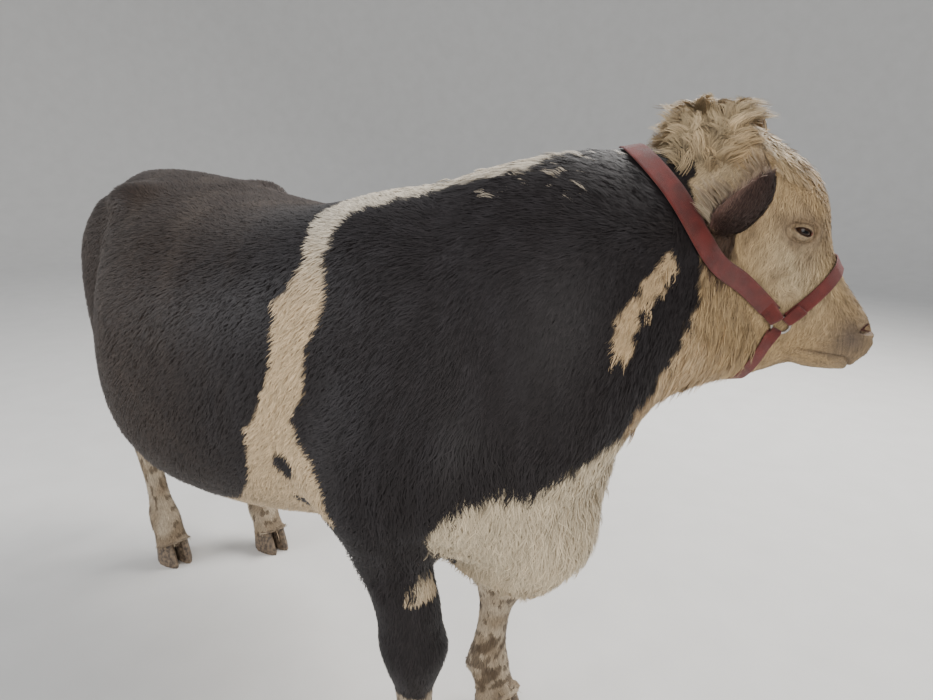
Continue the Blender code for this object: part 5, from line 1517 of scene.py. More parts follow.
def horn_material():
    """Ridged dark horn with dry soil on it."""
    material, tree, shader = new_material("claw horn", 0.5, 0.4)
    grain = object_noise(tree, 90.0, 4.0)
    place = add_node(tree, "ShaderNodeTexCoord")
    ridges = add_node(tree, "ShaderNodeTexWave", Scale=62.0, Distortion=1.6, Detail=2.0, Detail_Scale=3.0,
                      bands_direction="Z")
    tree.links.new(place.outputs["Object"], ridges.inputs["Vector"])
    colour = two_tones(tree, grain, (0.05, 0.036, 0.026), (0.21, 0.155, 0.105), 0.36, 0.66)
    tree.links.new(colour, shader.inputs["Base Color"])
    tree.links.new(remapped(tree, grain, 0.3, 0.7, 0.42, 0.8), shader.inputs["Roughness"])
    height = add_node(tree, "ShaderNodeMath", operation="MULTIPLY_ADD")
    height.inputs[1].default_value = 0.35
    tree.links.new(ridges.outputs["Fac"], height.inputs[0])
    tree.links.new(grain, height.inputs[2])
    bumped(tree, shader, height.outputs["Value"], 0.5, 0.0012)
    return material


HORN = horn_material()
claws = [item for name, item in frame["nodes"].items() if name.startswith("claw_")]
for claw in claws:
    claw.data.materials.clear()
    claw.data.materials.append(HORN)
print("claws", len(claws))

# %% [markdown]
# The halter is woven webbing, folded round a metal ring on each cheek and stitched. The
# webbing is laid by rays cast at the solids of head and neck, and then pulled taut, so
# that it bridges the hollows as a real strap does. It keeps the places of the solids'
# straps, with finer steps, rounded edges and a loop of webbing through each ring.

# %% Webbing and metal
RING_PLACE = (0.35, 0.067, -0.104)
NOSE_CENTRE = 0.045
CROWN_CENTRE = 0.55
NOSE_BRIDGE = 0.315
CHIN_PLACE = 0.385
CROWN_PLACE = Vector((0.828, 0.217, 1.405))
STRAP_THICKNESS = 0.0032
STRAP_LIFT = 0.0026
STRAP_ROWS = 9
CROWN_WIDTH = 0.033
NOSE_WIDTH = 0.0245
EAR_DETOUR = ((0, 0), (0.3, 0), (0.6, 0.022), (0.82, 0.008), (1, 0))
RING_RADIUS = 0.016
RING_WIRE = 0.003
RING_CLEAR = RING_RADIUS + RING_WIRE


def webbing_material():
    """Faded red webbing: a fine weave, worn pale along the edges and soiled."""
    material, tree, shader = new_material("webbing", 0.78, 0.25)
    weave_map = add_node(tree, "ShaderNodeUVMap", uv_map="weave")
    warp = add_node(tree, "ShaderNodeTexWave", Scale=30.0, Distortion=0.0, bands_direction="X")
    weft = add_node(tree, "ShaderNodeTexWave", Scale=60.0, Distortion=0.3, bands_direction="Y")
    for wave in (warp, weft):
        tree.links.new(weave_map.outputs["UV"], wave.inputs["Vector"])
    weave = add_node(tree, "ShaderNodeMath", operation="MULTIPLY")
    tree.links.new(warp.outputs["Fac"], weave.inputs[0])
    tree.links.new(weft.outputs["Fac"], weave.inputs[1])
    colour = add_node(tree, "ShaderNodeAttribute", attribute_name="markings")
    dirt = object_noise(tree, 45.0, 4.0)
    shade = tinted(tree, colour.outputs["Color"], dirt, 0.55, 1.25)
    fine = tinted(tree, shade, weave.outputs["Value"], 0.8, 1.12)
    tree.links.new(fine, shader.inputs["Base Color"])
    tree.links.new(remapped(tree, dirt, 0.3, 0.7, 0.66, 0.9), shader.inputs["Roughness"])
    shader.inputs["Sheen Weight"].default_value = 0.15
    bumped(tree, shader, weave.outputs["Value"], 0.7, 0.0006)
    return material


def metal_material():
    """Plated steel, dulled and scratched."""
    material, tree, shader = new_material("ring metal", 0.35, 0.5)
    shader.inputs["Metallic"].default_value = 1.0
    wear = object_noise(tree, 300.0, 4.0)
    colour = two_tones(tree, wear, (0.2, 0.17, 0.14), (0.62, 0.6, 0.56))
    tree.links.new(colour, shader.inputs["Base Color"])
    tree.links.new(remapped(tree, wear, 0.3, 0.7, 0.25, 0.55), shader.inputs["Roughness"])
    bumped(tree, shader, wear, 0.25, 0.0004)
    return material


WEBBING = webbing_material()
METAL = metal_material()
WEBBING_RED = (0.165, 0.031, 0.026)
WEBBING_WORN = (0.235, 0.08, 0.062)


def solid_tree(*names):
    """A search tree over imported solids, in the animal's frame."""
    bm = bmesh.new()
    for name in names:
        bm.from_mesh(frame["nodes"][name].data)
    bmesh.ops.translate(bm, vec=-SHIFT, verts=bm.verts)
    tree = BVHTree.FromBMesh(bm)
    bm.free()
    return tree


def pulled_taut(reach):
    """Let a strap bridge the hollows that it crosses, without dipping under the skin."""
    taut = reach.copy()
    for _ in range(60):
        padded = np.vstack((taut[:1], taut, taut[-1:]))
        level = (padded[:-2] + padded[2:]) / 2
        taut = np.maximum(reach, level * 0.5 + taut * 0.5)
    return taut


def strap_section(inner, outer, rounding=0.0009):
    """A flat section with rounded edges, from its inner and outer rows of points."""
    edge_in = (inner[-1] - inner[-2]).normalized()
    edge_out = (inner[0] - inner[1]).normalized()
    middle_right = (inner[-1] + outer[-1]) / 2 + edge_in * rounding
    middle_left = (inner[0] + outer[0]) / 2 + edge_out * rounding
    return inner + [middle_right] + outer[::-1] + [middle_left]


def lay_band(surface, centre, normal, start, angles, width, detour=None):
    """Sections of a strap laid round the head in a plane, just clear of the solids."""
    normal = Vector(normal).normalized()
    start = (start - normal * start.dot(normal)).normalized()
    turn_way = normal.cross(start)
    count = max(int(abs(angles[1] - angles[0]) / math.radians(1.5)), 24)
    parts = np.linspace(0, 1, count + 1)
    turns = angles[0] + (angles[1] - angles[0]) * parts
    ways = [start * math.cos(turn) + turn_way * math.sin(turn) for turn in turns]
    aside = read_line(detour, parts)[:, 0] if detour else parts * 0.0
    reach = np.zeros((len(parts), STRAP_ROWS))
    for index, (way, off) in enumerate(zip(ways, aside)):
        for row, shift in enumerate(np.linspace(-width / 2, width / 2, STRAP_ROWS)):
            hit = surface.ray_cast(centre + normal * (shift + off) + way * 0.6, -way)[0]
            reach[index, row] = (hit - centre).dot(way) if hit else np.nan
    reach = np.where(np.isnan(reach), np.nanmean(reach), reach)
    flat = reach.max(axis=1)[:, None] * 0.25 + reach * 0.75
    reach = pulled_taut(np.maximum(reach, flat))
    rings = []
    for index, (way, off) in enumerate(zip(ways, aside)):
        inner = []
        for row in range(STRAP_ROWS):
            shift = width * (row / (STRAP_ROWS - 1) - 0.5) + off
            inner.append(centre + normal * shift + way * (reach[index, row] + STRAP_LIFT))
        outer = [point + way * STRAP_THICKNESS for point in inner]
        rings.append(strap_section(inner, outer))
    return rings


def strap_mesh(name, rings):
    """A strap from its sections, with a weave map and worn edges."""
    bm = bmesh.new()
    weave = bm.loops.layers.uv.new("weave")
    count = len(rings[0])
    rows = [[bm.verts.new(point) for point in ring] for ring in rings]
    middles = [sum(ring, Vector()) / count for ring in rings]
    run = [0.0]
    for before, after in zip(middles, middles[1:]):
        run.append(run[-1] + (after - before).length)
    girth = [0.0]
    for before, after in zip(rings[0], rings[0][1:] + rings[0][:1]):
        girth.append(girth[-1] + (after - before).length)
    for index, (lower, upper) in enumerate(zip(rows, rows[1:])):
        for step in range(count):
            after = (step + 1) % count
            face = bm.faces.new((lower[step], lower[after], upper[after], upper[step]))
            spots = ((girth[step], run[index]), (girth[step + 1], run[index]),
                     (girth[step + 1], run[index + 1]), (girth[step], run[index + 1]))
            for loop, spot in zip(face.loops, spots):
                loop[weave].uv = (spot[0] * 8, spot[1] * 8)
    bm.faces.new(rows[0])
    bm.faces.new(rows[-1])
    bmesh.ops.recalc_face_normals(bm, faces=bm.faces)
    made = smooth_shaded(mesh_object(name, bm))
    points = points_of(made.data)
    step = np.arange(len(points)) % count
    edge = np.exp(-np.minimum(np.abs(step - STRAP_ROWS), np.minimum(step + 1, count - step)) ** 2 / 1.2)
    colours = np.tile(np.array(WEBBING_RED), (len(points), 1))
    colours = mixed(colours, WEBBING_WORN, edge * (0.55 + 0.4 * wander(points, 0.03, 71)))
    colours = mixed(colours, (0.12, 0.045, 0.035), 0.35 * np.clip(wander(points, 0.06, 72), 0, 1))
    paint(made.data, "markings", colours)
    made.data.materials.append(WEBBING)
    return made


def ring_frame(side, surface):
    """Where a ring lies on the cheek, with its axis out of the skin."""
    origin = on_head((RING_PLACE[0], 0.3, RING_PLACE[2]), side)
    hit, normal, _, _ = surface.ray_cast(origin, head_way((0, -1, 0), side))
    return hit + normal * (RING_WIRE + 0.004), normal


def make_ring(side, word, surface):
    """A ring of round wire, lying on the cheek."""
    place, normal = ring_frame(side, surface)
    turn = normal.to_track_quat("Z", "Y").to_matrix()
    rings = []
    for step in range(64):
        angle = 2 * math.pi * step / 64
        out = turn @ Vector((math.cos(angle), math.sin(angle), 0))
        centre = place + out * RING_RADIUS
        rings.append(section(centre, out, normal, RING_WIRE, RING_WIRE, RING_WIRE, 2.0, 16))
    bm = bmesh.new()
    rings.append(rings[0])
    add_loft(bm, rings, closed=False)
    bmesh.ops.remove_doubles(bm, verts=bm.verts, dist=0.00001)
    bmesh.ops.recalc_face_normals(bm, faces=bm.faces)
    made = smooth_shaded(mesh_object("cheek_ring_" + word, bm))
    made.data.materials.append(METAL)
    return made


def loop_round_ring(ring_place, ring_normal, strap_end, width):
    """The folded end of a strap: it goes round the ring's wire and back on itself."""
    toward = ring_place - strap_end
    toward = (toward - ring_normal * toward.dot(ring_normal)).normalized()
    across = ring_normal.cross(toward).normalized()
    centre = ring_place - toward * RING_RADIUS
    size = RING_WIRE + STRAP_THICKNESS / 2 + 0.0004
    path = []
    for step in range(13):
        turn = math.pi * step / 12
        path.append((centre + toward * (math.sin(turn) * size) + ring_normal * (math.cos(turn) * size),
                     toward * math.sin(turn) + ring_normal * math.cos(turn)))
    top_end = strap_end + ring_normal * (STRAP_THICKNESS * 1.1) - toward * 0.03
    low_end = strap_end - toward * 0.004
    lead = []
    for step in range(8):
        part = step / 8
        spot = top_end * (1 - part) + path[0][0] * part
        lead.append((spot, ring_normal))
    back = []
    for step in range(1, 5):
        part = step / 4
        spot = path[-1][0] * (1 - part) + low_end * part
        back.append((spot, -ring_normal))
    rings = []
    for index, (spot, face) in enumerate(lead + path + back):
        squeeze = width * (1 - 0.18 * max(0, min(1, (index - 3) / 6)))
        inner = []
        for row in range(STRAP_ROWS):
            shift = squeeze * (row / (STRAP_ROWS - 1) - 0.5)
            inner.append(spot + across * shift - face * STRAP_THICKNESS / 2)
        outer = [point + face * STRAP_THICKNESS for point in inner]
        rings.append(strap_section(inner, outer))
    return rings


# %% Lay the halter
HALTER_TREE = solid_tree("head", "neck")


def ring_end(rings, near):
    """The middle of the end of a strap that lies nearer to a ring."""
    ends = [sum(ring, Vector()) / len(ring) for ring in (rings[0], rings[-1])]
    return min(ends, key=lambda end: (end - near).length)


def lay_halter():
    """Noseband, chin strap, two cheek straps, their loops and two rings."""
    made = {}
    middle = on_head((RING_PLACE[0], 0.0, RING_PLACE[2]))
    across = RING_PLACE[1]
    left = head_way((0, 1, 0))
    rings = {side: ring_frame(side, HALTER_TREE) for side in (-1, 1)}
    bands = {}
    for name, aim in (("noseband", (NOSE_BRIDGE, 0, 0.02)), ("chin_strap", (CHIN_PLACE, 0, -0.16))):
        reach = (on_head(aim) - middle).normalized()
        normal = left.cross(reach).normalized()
        centre = middle + reach * NOSE_CENTRE
        gap = math.atan2(across, -NOSE_CENTRE) - RING_CLEAR / math.hypot(across, NOSE_CENTRE)
        rows = lay_band(HALTER_TREE, centre, normal, reach, (-gap, gap), NOSE_WIDTH)
        bands[name] = (rows, (-1, 1), NOSE_WIDTH)
    reach = (CROWN_PLACE - middle).normalized()
    normal = left.cross(reach).normalized()
    length = (CROWN_PLACE - middle).length * CROWN_CENTRE
    centre = middle + reach * length
    back = -1 if normal.dot(head_way((0, 0, 1))) > 0 else 1
    detour = [(part, aside * back) for part, aside in EAR_DETOUR]
    gap = math.pi - math.atan2(across, length) - RING_CLEAR / math.hypot(across, length)
    for side, word in SIDES:
        angles = (0.0, gap) if side * normal.cross(reach).dot(left) > 0 else (0.0, -gap)
        rows = lay_band(HALTER_TREE, centre, normal, reach, angles, CROWN_WIDTH, detour)
        bands["cheek_" + word] = (rows, (side,), CROWN_WIDTH)
    for name, (rows, sides, width) in bands.items():
        made[name] = [strap_mesh("strap_" + name, rows)]
        for side in sides:
            place, out = rings[side]
            end = ring_end(rows, place)
            loop = loop_round_ring(place, out, end, width * 0.92)
            made[name].append(strap_mesh("fold_" + name + "_" + dict(SIDES)[side], loop))
    for side, word in SIDES:
        made["ring_" + word] = [make_ring(side, word, HALTER_TREE)]
    return made


halter = lay_halter()
print("halter pieces", sum(len(pieces) for pieces in halter.values()))

# %% [markdown]
# The short coat comes first. It covers every side, and its tufts are shortest and
# finest on the face and the feet. Length, width and curl are read for each root from
# where it lies.

# %% How long the hair is, and how it curls
SEED = 7
# Length, width, rise and curl of a tuft in metres; None keeps what was there before.
BODY_TUFT = (0.024, 0.0023, 0.0046, 0.0022)
HEAD_TUFT = (0.015, 0.0016, 0.003, 0.0016)
THROAT_TUFT = (0.034, 0.0022, None, 0.004)
MUZZLE_TUFT = (0.0055, 0.0009, 0.0009, 0.0002)
EYE_TUFT = (0.006, 0.001, 0.0012, 0.0003)
CHEST_TUFT = (0.042, None, 0.0075, 0.0075)
NECK_TUFT = (0.034, 0.0022, None, 0.003)
BELLY_TUFT = (0.036, None, 0.0065, 0.0045)
LEG_TUFT = (0.017, 0.0022, 0.0022, 0.0009)
FOOT_TUFT = (0.013, 0.0017, None, None)
TAIL_TUFT = (0.024, 0.0022, 0.003, None)
CHEEK_LONGER = 0.007
CHEEK_CURLIER = 0.003
TUFT_STRAY = 0.16
TUFT_VARIES = 0.12
CLUMP_VARIES = 0.1


def coat_measures(points, parts, chance):
    """Length, width, rise and curl of the tufts at the given roots."""
    number = len(points)
    sizes = np.tile(np.array(BODY_TUFT), (number, 1))

    def set_tufts(where, values):
        for column, value in enumerate(values):
            if value is not None:
                sizes[where, column] = value

    local = in_head(points)
    head = parts == "head"
    set_tufts(head, HEAD_TUFT)
    cheek = np.exp(-((local[:, 0] - 0.24) / 0.1) ** 2 - ((local[:, 2] + 0.06) / 0.07) ** 2) * head
    sizes[:, 0] += CHEEK_LONGER * cheek
    sizes[:, 3] += CHEEK_CURLIER * cheek
    set_tufts(head & (local[:, 2] < -0.17), THROAT_TUFT)
    nears = [(ramp(local[:, 0], 0.37, 0.45) * head, MUZZLE_TUFT)]
    for side in (-1, 1):
        eye = at_eye(points, side)
        near = 1 - ramp(np.hypot(eye[:, 0] / 0.048, eye[:, 1] / 0.036), 0.55, 1.3)
        nears.append((near * (np.abs(eye[:, 2]) < 0.06), EYE_TUFT))
    for near, values in nears:
        sizes[:] = sizes * (1 - near)[:, None] + np.array(values) * near[:, None]
    legs = parts == "legs"
    set_tufts(~legs & ~head & (points[:, 0] > 0.6) & (points[:, 2] < 0.95), CHEST_TUFT)
    set_tufts(parts == "neck", NECK_TUFT)
    set_tufts((parts == "trunk") & (points[:, 2] < 0.66), BELLY_TUFT)
    set_tufts(legs, LEG_TUFT)
    set_tufts(legs & (points[:, 2] < 0.16), FOOT_TUFT)
    set_tufts(parts == "tail", TAIL_TUFT)
    length, width, lift, curl = sizes.T
    length = length * chance.uniform(0.72, 1.28, number)
    width = width * chance.uniform(0.8, 1.2, number)
    lift = lift * chance.uniform(0.5, 1.45, number)
    return length, width, lift, curl


def skin_roots(number, picks, chance):
    """Scattered places on the skin, over the triangles that the test picks, with normals."""
    middles = SKIN_PLACES[SKIN_TRIANGLES].mean(axis=1)
    return scatter(SKIN_PLACES, SKIN_TRIANGLES, SKIN_NORMALS, picks(middles).astype(float), number, chance)


def short_coat(name, number, picks, unwrap, seed):
    """Tufts of the short coat over the triangles that the test picks."""
    chance = np.random.default_rng(SEED + seed)
    roots, normals = skin_roots(number, picks, chance)
    parts = part_of(roots)
    eye_clear = np.ones(len(roots), dtype=bool)
    for side in (-1, 1):
        eye = at_eye(roots, side)
        reach = np.hypot(eye[:, 0] / LID_OPENING[0], eye[:, 1] / LID_OPENING[1])
        eye_clear &= (reach > 2.05) | (np.abs(eye[:, 2]) > 0.06)
    local = in_head(roots)
    pad = (local[:, 0] > 0.452) & (local[:, 2] > -0.028) & (np.abs(local[:, 1]) < 0.034)
    keep = eye_clear & ~(pad & (parts == "head"))
    roots, normals, parts = roots[keep], normals[keep], parts[keep]
    length, width, lift, curl = coat_measures(roots, parts, chance)
    ways = laid_flat(lie_of_coat(roots, parts), normals)
    side = np.cross(ways, normals)
    stray = chance.normal(0, TUFT_STRAY, len(roots))
    ways = laid_flat(ways + side * stray[:, None], normals)
    middles, edges, half = strip_points(roots, normals, ways, length, width, lift, curl, chance)
    bright = 1 + TUFT_VARIES * chance.normal(0, 1, len(roots)).clip(-1.8, 1.8)
    clump = 1 + CLUMP_VARIES * wander(roots, 0.018, 80)
    colours = coat_colour(roots + ways * (length * 0.5)[:, None]) * (bright * clump)[:, None]
    return coat_mesh(name, middles, edges, half, normals, colours, unwrap(roots), SHORT_HAIR)


def in_part(name):
    """A test for the points of one part of the animal."""
    return lambda points: part_of(points) == name


STRETCHES = (("rear", -2.0, -0.28), ("middle", -0.28, 0.32), ("front", 0.32, 2.0))
TRUNK_TUFTS = {-1: 29000, 1: 24000}
NECK_TUFTS = 28000
HEAD_TUFTS = 42000
LEG_TUFTS = 42000
TAIL_TUFTS = 3500
coats = [short_coat("coat_head", HEAD_TUFTS, in_part("head"), unwrap_head, 1)]
for side, word in SIDES:
    mine = lambda points, side=side: (part_of(points) == "neck") & (np.sign(neck_line(points)[1]) == side)
    coats.append(short_coat("coat_neck_" + word, NECK_TUFTS, mine, unwrap_neck, 2 + side))
    for order, (end, low, high) in enumerate(STRETCHES):
        mine = lambda points, side=side, low=low, high=high: (
            (part_of(points) == "trunk") & (np.sign(points[:, 1]) == side)
            & (points[:, 0] >= low) & (points[:, 0] < high))
        name = "coat_" + end + "_" + word
        coats.append(short_coat(name, TRUNK_TUFTS[side], mine, unwrap_trunk, 10 + side + 3 * order))
coats.append(short_coat("coat_legs", LEG_TUFTS, in_part("legs"), unwrap_legs, 30))
coats.append(short_coat("coat_tail", TAIL_TUFTS, in_part("tail"), unwrap_tail, 31))

# %% [markdown]
# Long hair needs curves and not straight strips. Each lock is led by a guide, a curve
# that starts on the skin and bends the way the hair falls. One to two dozen narrow
# strips follow one guide, spread at its root and drawn together at its tip, which is
# what makes wet or woolly hair hang in locks.

# %% Long hair
# Strands to a lock, their spread, width and wave in metres, and how far they gather at the tip.
POLL_STRANDS = (24, 0.0125, 0.0013, 0.004, 0.4)
EAR_STRANDS = (16, 0.004, 0.0011, 0.0022, 0.45)
SWITCH_STRANDS = (24, 0.0085, 0.0018, 0.0075, 0.6)


def locks_along(name, guides, normals, strands, spread, width, wave, gather, colours_of, unwrap, seed):
    """Strips that follow guides: rows of points from root to tip."""
    chance = np.random.default_rng(SEED + seed)
    guides = np.asarray(guides, dtype=float)
    number, stations, _ = guides.shape
    total = number * strands
    lead = np.repeat(guides, strands, axis=0)
    out = np.repeat(np.asarray(normals, dtype=float), strands, axis=0)
    way = unit(lead[:, 1] - lead[:, 0])
    side = unit(np.cross(way, out))
    up = unit(np.cross(side, way))
    turn = chance.uniform(0, 2 * math.pi, total)
    reach = np.sqrt(chance.random(total)) * spread
    offset = side * (np.cos(turn) * reach)[:, None] + up * (np.sin(turn) * reach * 0.55)[:, None]
    parts = np.linspace(0, 1, stations)
    close = 1 - gather * parts ** 1.3
    shrink = chance.uniform(0.7, 1.06, total)
    middles = np.empty((total, stations, 3))
    phase = np.repeat(chance.uniform(0, 2 * math.pi, number), strands) + chance.normal(0, 0.7, total)
    turns = np.repeat(chance.uniform(0.8, 1.7, number), strands)
    for index, part in enumerate(parts):
        place = part * shrink * (stations - 1)
        low = np.clip(np.floor(place).astype(int), 0, stations - 2)
        rest = (place - low)[:, None]
        rows = np.arange(total)
        spot = lead[rows, low] * (1 - rest) + lead[rows, low + 1] * rest
        swing = wave * part * np.sin(2 * math.pi * turns * part + phase)
        middles[:, index] = spot + offset * close[index] + side * swing[:, None]
        middles[:, index] += up * (wave * 0.5 * part * np.cos(2 * math.pi * turns * part + phase))[:, None]
    taper = (0.8 + 0.5 * parts) * (1 - parts ** 2.6)
    half = width * chance.uniform(0.7, 1.3, total)[:, None] * taper[None, :] * 0.5
    twist = chance.uniform(-0.9, 0.9, total)
    edges = side * np.cos(twist)[:, None] + up * np.sin(twist)[:, None]
    bright = 1 + 0.17 * chance.normal(0, 1, total).clip(-1.8, 1.8)
    group = np.repeat(1 + 0.14 * chance.normal(0, 1, number).clip(-1.6, 1.6), strands)
    roots = middles[:, 0]
    colours = colours_of(roots) * (bright * group)[:, None]
    soft = unit(out * 0.6 + up * 0.6)
    # Long hair gets a deeper painted shade at its roots.
    return coat_mesh(name, middles, edges, half, soft, colours, unwrap(roots), LONG_HAIR, 0.55)


POLL_FORWARD = Vector((math.cos(HEAD_TURN), math.sin(HEAD_TURN), 0.0))
POLL_LEFT = Vector((-math.sin(HEAD_TURN), math.cos(HEAD_TURN), 0.0))
POLL_STATIONS = 7
POLL_LOCKS = 700
POLL_LEVEL = 1.5


def poll_places(chance):
    """Roots over the poll, their normals, and how far each lies forward, left and up."""
    hits = []
    outs = []
    spots = []
    while len(hits) < POLL_LOCKS:
        turn = chance.uniform(0, 2 * math.pi)
        height = chance.uniform(-0.4, 1.0)
        level = math.sqrt(1 - height * height)
        start = (POLL_FORWARD * math.cos(turn) + POLL_LEFT * math.sin(turn)) * level + Vector((0, 0, height))
        hit, normal, _, _ = SKIN_TREE.ray_cast(POLL_CORE + start * 0.4, -start)
        if hit is None or on_head_side(np.array([hit]))[0] < 0.004 or math.cos(turn) * level > 0.62:
            continue
        hits.append(list(hit))
        outs.append(list(normal))
        spots.append((math.cos(turn) * level, math.sin(turn) * level, height))
    return np.array(hits), np.array(outs), np.array(spots).T


def clear_of_skin(points, gap):
    """Points pushed out until they stand at least a gap off the skin."""
    moved = points.copy()
    for index, point in enumerate(points):
        near, out, _, _ = SKIN_TREE.find_nearest(Vector(point))
        inside = (Vector(point) - near).dot(out)
        if inside < gap:
            moved[index] += np.array(out) * (gap - inside)
    return moved


def poll_guides():
    """Guides of the topknot: woolly, up on the crest, then forward, and back over the nape."""
    chance = np.random.default_rng(SEED + 50)
    roots, outs, (facing, aside, height) = poll_places(chance)
    rear = ramp(-facing, 0.1, 0.7)
    crest = ramp(height, 0.2, 0.75)
    front = ramp(facing, 0.1, 0.5)
    forward = chance.uniform(0.25, 0.8, POLL_LOCKS) * (1 - 1.6 * rear)
    leftward = 0.2 - 0.3 * aside + chance.normal(0, 0.18, POLL_LOCKS)
    rise = 1 - np.maximum(rear * 0.9, front)
    way = outs * (0.6 - 0.45 * front)[:, None] + np.array((0, 0, 0.35)) * rise[:, None]
    way = way + np.outer(forward, POLL_FORWARD) + np.outer(leftward, POLL_LEFT)
    down = np.array(head_way((1.0, 0, 0)))
    way = unit(way * (1 - 0.8 * front)[:, None] + np.outer(front * 0.9, down))
    short = chance.uniform(0.05, 0.074, POLL_LOCKS)
    long = chance.uniform(0.07, 0.108, POLL_LOCKS)
    step = (short * (1 - crest) + long * crest) * (1 - 0.45 * front) / (POLL_STATIONS - 1)
    rows = [roots - outs * 0.002]
    for index in range(POLL_STATIONS - 1):
        part = index / (POLL_STATIONS - 1)
        curl = np.stack([wander(rows[-1], 0.03, 52 + axis) for axis in range(3)], axis=1)
        bend = np.outer(0.22 * (1 - 1.5 * rear) * (1 - front), POLL_FORWARD) + np.array((0, 0, -0.34))
        way = unit(way + curl * (0.42 - 0.25 * front)[:, None] + bend * part)
        point = clear_of_skin(rows[-1] + way * step[:, None], 0.004)
        high = np.maximum(point[:, 2] - POLL_LEVEL, 0)
        point[:, 2] -= high * 0.4
        rows.append(point)
    return np.stack(rows, axis=1), outs


def poll_colour(points):
    """Cream wool with browner locks in it."""
    colours = np.tile(np.array(POLL_CREAM), (len(points), 1))
    colours = mixed(colours, (0.4, 0.29, 0.17), 0.4 * np.clip(wander(points, 0.03, 57), 0, 1))
    return mixed(colours, FACE_CREAM, ramp(in_head(points)[:, 0], -0.02, 0.06))


guides, normals = poll_guides()
coats.append(locks_along("hair_poll", guides, normals, *POLL_STRANDS, poll_colour, unwrap_head, 51))

# %% Hair of the forehead, withers, brisket and throat


def curves_from(roots, normals, ways, length, lift, fall, seed, stations=7, sway=0.25):
    """Guides that leave the skin along a way, rise and then fall."""
    chance = np.random.default_rng(SEED + seed)
    number = len(roots)
    way = unit(laid_flat(ways, normals) + normals * lift + chance.normal(0, sway, (number, 3)) * 0.5)
    size = length * chance.uniform(0.75, 1.25, number) / (stations - 1)
    rows = [roots - normals * 0.0015]
    for _ in range(stations - 1):
        way = unit(way + np.array((0, 0, -1.0)) * fall - normals * lift * 0.22)
        rows.append(rows[-1] + way * size[:, None])
    return np.stack(rows, axis=1)


# Number of locks; their length, lift and fall; their strands; and three seeds.
PATCHES = {"hair_brow": (420, (0.036, 0.17, 0.0), (12, 0.007, 0.0011, 0.003, 0.35), (60, 61, 62)),
           "hair_withers": (300, (0.042, 0.42, 0.02), (12, 0.008, 0.0016, 0.003, 0.6), (63, 64, 67)),
           "hair_brisket": (520, (0.05, 0.3, 0.02), (12, 0.008, 0.0018, 0.0065, 0.6), (68, 69, 70)),
           "hair_throat": (420, (0.048, 0.2, 0.03), (12, 0.008, 0.0016, 0.003, 0.6), (71, 72, 73))}


def hair_patch(name, picks, ways_at, colours_of, unwrap):
    """Locks over the part of the skin that a test picks."""
    number, bend, strands, seeds = PATCHES[name]
    roots, outs = skin_roots(number, picks, np.random.default_rng(SEED + seeds[0]))
    guides = curves_from(roots, outs, ways_at(roots), *bend, seeds[1])
    return locks_along(name, guides, outs, *strands, colours_of, unwrap, seeds[2])


def all_along(way):
    """The same way for every root."""
    return lambda roots: np.tile(way, (len(roots), 1))


def brow_test(points):
    """Points of the forehead, below the topknot."""
    local = in_head(points)
    return ((part_of(points) == "head") & (local[:, 0] > -0.01) & (local[:, 0] < 0.135)
            & (local[:, 2] > 0.0) & (np.abs(local[:, 1]) < 0.095))


def brow_ways(roots):
    """Down the forehead, and outward to both sides."""
    spread = in_head(roots)[:, 1] * 3.5
    return np.stack((np.full(len(roots), 1.0), spread, np.zeros(len(roots))), axis=1) @ HEAD_AXES.T


def withers_test(points):
    """Points of the crest from the withers to the nape."""
    return ((points[:, 0] > 0.42) & (points[:, 0] < 0.93) & (points[:, 2] > 1.335)
            & (on_head_side(points) < -0.01))


def withers_colour(points):
    """Dark hair with pale tufts along the crest."""
    colours = coat_colour(points)
    pale = (wander(points, 0.045, 66) > 0.05) & (points[:, 0] > 0.7) & (points[:, 0] < 0.875)
    return mixed(colours, (0.42, 0.36, 0.28), pale * 0.85)


def brisket_test(points):
    """Points of the breast, between the forelegs and below the shoulders."""
    return ((points[:, 0] > 0.56) & (points[:, 2] < 0.9) & (points[:, 2] > 0.5)
            & (part_of(points) == "trunk") & (np.abs(points[:, 1]) < 0.26))


def throat_test(points):
    """Points of the pale throat, behind the jaw."""
    local = in_head(points)
    return ((points[:, 0] > 0.84) & (points[:, 2] < 1.24) & (points[:, 2] > 0.95)
            & (cream_share(points) > 0.5) & (local[:, 2] < -0.15) & (local[:, 0] < 0.36))


coats += [hair_patch("hair_brow", brow_test, brow_ways, coat_colour, unwrap_head),
          hair_patch("hair_withers", withers_test, all_along((-0.9, -0.25, 0.25)), withers_colour,
                     unwrap_trunk),
          hair_patch("hair_brisket", brisket_test, all_along((-0.25, 0.0, -1.0)), coat_colour, unwrap_trunk),
          hair_patch("hair_throat", throat_test, all_along((-0.3, -0.22, -1.0)), coat_colour, unwrap_head)]

# %% [markdown]
# The ear carries two coats: short velvet on its back, and long pale hairs that stand
# out of its hollow and past its rim. The switch of the tail is a tassel of long wavy
# locks that hang from the last third of the tail.

# %% Hair of the ears
EAR_TUFTS = 7000
EAR_LOCKS = 150
EAR_HAIR = (0.52, 0.42, 0.29)


def unwrap_ear(points, side):
    """Across and along an ear, with the left ear in the right half of the square."""
    place = np.array(ear_turn(side).inverted())
    local = np.c_[points, np.ones(len(points))] @ place.T
    half = (local[:, 1] + 0.07) / 0.14
    front = local[:, 2] > -0.012
    across = np.where(front, squeezed(half) * 0.5, 0.5 + squeezed(half) * 0.5)
    return np.stack(((across + (side > 0)) / 2, squeezed((local[:, 0] + 0.06) / 0.24)), axis=1)


def ear_hair_colour(points):
    """Pale long hair with browner hairs in it."""
    colours = np.tile(np.array(EAR_HAIR), (len(points), 1))
    return mixed(colours, (0.3, 0.22, 0.15), 0.5 + 0.5 * wander(points, 0.03, 92))


